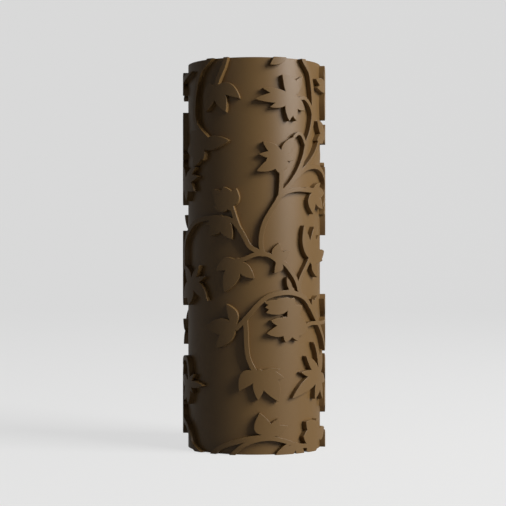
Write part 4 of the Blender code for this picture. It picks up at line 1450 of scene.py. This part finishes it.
@dataclass
class Axle:
    """The hollow axle with its thrust washers and retaining rings."""

    sizes: RollerSizes
    wall: float = 1.7 * MM
    chamfer: float = 0.4 * MM
    washer_width: float = 3 * MM
    washer_edge: float = 0.2 * MM
    ring_width: float = 1.6 * MM
    lug_width: float = 1.5 * MM
    eye_radius: float = 0.5 * MM
    fine_edge: float = 0.1 * MM
    segments: int = 96
    lug_steps: int = 8
    eye_sides: int = 20
    closest: float = 0.0001 * MM
    flat_enough: float = 0.001
    sharp_turn: float = 50.0
    bevel_steps: int = 2

    def build(self, shop: Workshop) -> None:
        """Make all the pieces.

        Args:
            shop: the workshop.
        """
        shop.turned("axle_tube", self.tube_profile(), Body.AXLE, AXLE_STEEL, self.segments)
        for end in End:
            shop.turned(end.value + "_thrust_washer", self.sizes.at(end, self.washer_profile()),
                        Body.AXLE, AXLE_STEEL, self.segments)
            self.retaining_ring(shop, end)

    def tube_profile(self) -> Profile:
        """Draw the axle: a tube with chamfered ends and a groove near each.

        Returns:
            The profile.
        """
        sizes, fine = self.sizes, self.fine_edge
        radius, foot = sizes.axle_radius, sizes.axle_recess
        floor = radius - sizes.ring_groove_depth
        near = foot + sizes.ring_groove_inset
        far = sizes.ring_face + sizes.ring_thickness + sizes.gap
        lower = [(radius - self.wall, foot, fine), (radius - self.chamfer, foot, fine),
                 (radius, foot + self.chamfer, fine), (radius, near, fine / 2),
                 (floor, near, fine), (floor, far, fine), (radius, far, fine / 2)]
        return [*lower, *sizes.at(End.UPPER, lower)[::-1]]

    def washer_profile(self) -> Profile:
        """Draw a thrust washer, flat, with soft rims.

        Returns:
            The profile.
        """
        bore, face = self.sizes.bush_bore, self.sizes.washer_face
        rim, back = bore + self.washer_width, face + self.sizes.washer_thickness
        return [(radius, depth, self.washer_edge)
                for radius, depth in ((bore, face), (rim, face), (rim, back), (bore, back))]

    def ring_loops(self) -> list[list[Vector]]:
        """Draw an open spring ring with a lug and a plier eye at each of its ends.

        Returns:
            Its outline, and its two eyes.
        """
        inner = self.sizes.axle_radius - self.sizes.ring_groove_depth + self.sizes.gap
        outer = inner + self.ring_width
        tip = outer + self.lug_width
        lug = 2 * self.lug_width / outer
        start = self.lug_width / outer / 2
        stop = math.tau - start

        def at(radius: float, turn: float) -> Vector:
            """A place on the ring, turned from the middle of its gap."""
            return Vector((radius * math.sin(turn), -radius * math.cos(turn)))

        first, last = start + lug, stop - lug
        steps = range(self.lug_steps + 1)
        arc = [first + (last - first) * step / self.segments for step in range(self.segments + 1)]
        rise = [lug * step / self.lug_steps for step in steps]
        outline = [at(tip, start + turn) for turn in rise]
        outline += [at(outer, turn) for turn in arc]
        outline += [at(tip, stop - turn) for turn in reversed(rise)]
        outline += [at(inner, stop - lug * step / self.lug_steps) for step in steps[:-1]]
        outline += [at(inner, turn) for turn in arc[::-1]]
        outline += [at(inner, first - lug * step / self.lug_steps) for step in steps[1:]]
        eyes = [circle(at((outer + tip) / 2, turn), self.eye_radius, self.eye_sides)
                for turn in (start + lug / 2, stop - lug / 2)]
        return [outline, *eyes]

    def retaining_ring(self, shop: Workshop, end: End) -> None:
        """Make the retaining ring at one end.

        Args:
            shop: the workshop.
            end: the end.
        """
        points, edges = joined(self.ring_loops())
        found = delaunay_2d_cdt(points, edges, [], 2, self.closest)
        foot, thickness = self.sizes.ring_face, self.sizes.ring_thickness
        if end is End.UPPER:
            foot = self.sizes.length - foot - thickness
        bm = bmesh.new()
        corners = [bm.verts.new((point.x, point.y, foot)) for point in found[0]]
        for face in found[2]:
            bm.faces.new([corners[index] for index in face])
        bmesh.ops.dissolve_limit(bm, angle_limit=self.flat_enough, verts=bm.verts,
                                 edges=bm.edges)
        raised = bmesh.ops.extrude_face_region(bm, geom=bm.faces[:])
        lifted = [part for part in raised["geom"] if isinstance(part, bmesh.types.BMVert)]
        bmesh.ops.translate(bm, verts=lifted, vec=(0, 0, thickness))
        bmesh.ops.recalc_face_normals(bm, faces=bm.faces)
        node = end.value + "_retaining_ring"
        mesh = bpy.data.meshes.new(node)
        bm.to_mesh(mesh)
        bm.free()
        mesh.materials.append(shop.materials[SPRING_STEEL.name])
        piece = placed(node + "_piece", mesh)
        bevel = piece.modifiers.new("Bevel", "BEVEL")
        bevel.width, bevel.segments = self.fine_edge, self.bevel_steps
        bevel.limit_method, bevel.angle_limit = "ANGLE", math.radians(self.sharp_turn)
        weigh_normals(plain_mesh(piece))
        shop.settle(piece, Body.AXLE, node)


# The studio


@dataclass
class Lamp:
    """A square soft light: where it stands, where it points, how large and how strong.

    A gentle one lights only the roller, with no glints and no shadow on the floor.
    """

    name: str
    place: Triple
    size: float
    power: float
    gentle: bool = False
    aim: Triple = (0.0, 0.0, 0.06)

    def hang(self, pieces: bpy.types.Collection) -> None:
        """Add the light to the scene.

        Args:
            pieces: the roller's pieces.
        """
        light = bpy.data.lights.new(self.name, "AREA")
        light.shape, light.size, light.energy = "SQUARE", self.size, self.power
        lamp = placed(self.name, light)
        lamp.location = self.place
        way = Vector(self.aim) - Vector(self.place)
        lamp.rotation_mode = "QUATERNION"
        lamp.rotation_quaternion = way.to_track_quat("-Z", "Y")
        if self.gentle:
            lamp.light_linking.receiver_collection = pieces
            lamp.visible_glossy = False


@dataclass
class Studio:
    """The pale sweep, the lights and the camera."""

    floor_colour: Colour = (0.18, 0.18, 0.177)
    floor_roughness: float = 0.9
    nearest: float = 0.01
    furthest: float = 20.0
    fibre_size: float = 3 * MM
    fibre_shade: float = 0.985
    pale: float = 0.66
    background: float = 0.85
    mirrored_share: float = 0.25
    ambient: float = 0.022
    sweep_depth: float = 1.6
    sweep_front: float = 1.2
    sweep_width: float = 4.0
    sweep_height: float = 2.0
    sweep_bend: float = 0.6
    sweep_steps: int = 24
    camera_distance: float = 444.8 * MM
    camera_height: float = 60 * MM
    lens: float = 100.0
    sensor: float = 36.0
    picture: float = 506.0
    object_centre: Place = (254.1, 255.9)
    lamps: Sequence[Lamp] = (
        Lamp("key", (0.72, -0.36, 0.46), 0.5, 10.0),
        Lamp("fill", (-0.6, -0.75, 0.3), 0.6, 0.12),
        Lamp("back", (0.4, 0.8, 0.3), 0.5, 6.0, gentle=True),
    )

    def build(self, pieces: bpy.types.Collection) -> None:
        """Build the whole studio.

        Args:
            pieces: the roller's pieces.
        """
        bpy.context.scene.view_settings.view_transform = "Standard"
        self.sweep()
        self.air()
        for lamp in self.lamps:
            lamp.hang(pieces)
        self.camera()
        LOG.info("studio: %d lamps", len(self.lamps))

    def sweep(self) -> None:
        """Make the floor and the backdrop as one bent sheet."""
        bend, depth, half = self.sweep_bend, self.sweep_depth, self.sweep_width / 2
        line = [(-self.sweep_front, 0.0)]
        for step in range(self.sweep_steps + 1):
            turn = math.pi / 2 * step / self.sweep_steps
            line.append((depth - bend + bend * math.sin(turn), bend - bend * math.cos(turn)))
        line.append((depth, self.sweep_height))
        vertices = [(x, y, z) for y, z in line for x in (-half, half)]
        faces = [(2 * i, 2 * i + 1, 2 * i + 3, 2 * i + 2) for i in range(len(line) - 1)]
        mesh = bpy.data.meshes.new("sweep")
        mesh.from_pydata(vertices, [], faces)
        mesh.shade_smooth()
        material = bpy.data.materials.new("paper")
        tree = ShaderTree(material)
        fibre = tree.noise(tree.place(), self.fibre_size, 3.0)
        darker = tuple(channel * self.fibre_shade for channel in self.floor_colour)
        tree.surface(Base_Color=tree.mixed(fibre, darker, self.floor_colour),
                     Roughness=self.floor_roughness, Emission_Strength=1.0,
                     Emission_Color=tree.mixed(self.in_view(tree), (0.0, 0.0, 0.0),
                                               (self.pale, self.pale, self.pale)))
        mesh.materials.append(material)
        placed("sweep", mesh)

    def in_view(self, tree: NodeTree) -> Socket:
        """Tell the rays that see the background, straight or in a gloss, from those that light.

        Args:
            tree: the tree that asks.

        Returns:
            1 for the rays that see it, less in a gloss, and 0 for the others.
        """
        rays = tree.node("ShaderNodeLightPath", output="Is Camera Ray")
        mirrored = rays.output("Is Glossy Ray") * self.mirrored_share
        through = rays.output("Is Transmission Ray")
        return tree.maths("MAXIMUM", rays, tree.maths("MAXIMUM", mirrored, through))

    def air(self) -> None:
        """Light the scene faintly from all round, and show white behind the sweep."""
        world = bpy.data.worlds.new("air")
        bpy.context.scene.world = world
        world.use_nodes = True
        tree = NodeTree(world.node_tree)
        strength = self.ambient + self.in_view(tree) * (self.background - self.ambient)
        background = world.node_tree.nodes["Background"]
        tree.feed(background.inputs["Color"], (1.0, 1.0, 1.0, 1.0))
        tree.feed(background.inputs["Strength"], strength)

    def camera(self) -> None:
        """Set up the camera at the photograph's angle."""
        data = bpy.data.cameras.new("camera")
        data.lens, data.sensor_width = self.lens, self.sensor
        middle = self.picture / 2
        data.shift_x = (middle - self.object_centre[0]) / self.picture
        data.shift_y = (self.object_centre[1] - middle) / self.picture
        data.clip_start, data.clip_end = self.nearest, self.furthest
        camera = placed("camera", data)
        camera.location = (0.0, -self.camera_distance, self.camera_height)
        camera.rotation_euler = (math.pi / 2, 0.0, 0.0)
        bpy.context.scene.camera = camera


def main() -> None:
    """Load the frame, dress the roller and light it."""
    logging.basicConfig(level=logging.INFO, format="%(name)s: %(message)s", stream=sys.stdout)
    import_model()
    shop = Workshop()
    sizes = RollerSizes()
    TextureSleeve(sizes).build(shop)
    DrumInside(sizes).build(shop)
    Axle(sizes).build(shop)
    Studio().build(shop.pieces)
    LOG.info("dressed the roller")


if __name__ == "__main__":
    main()
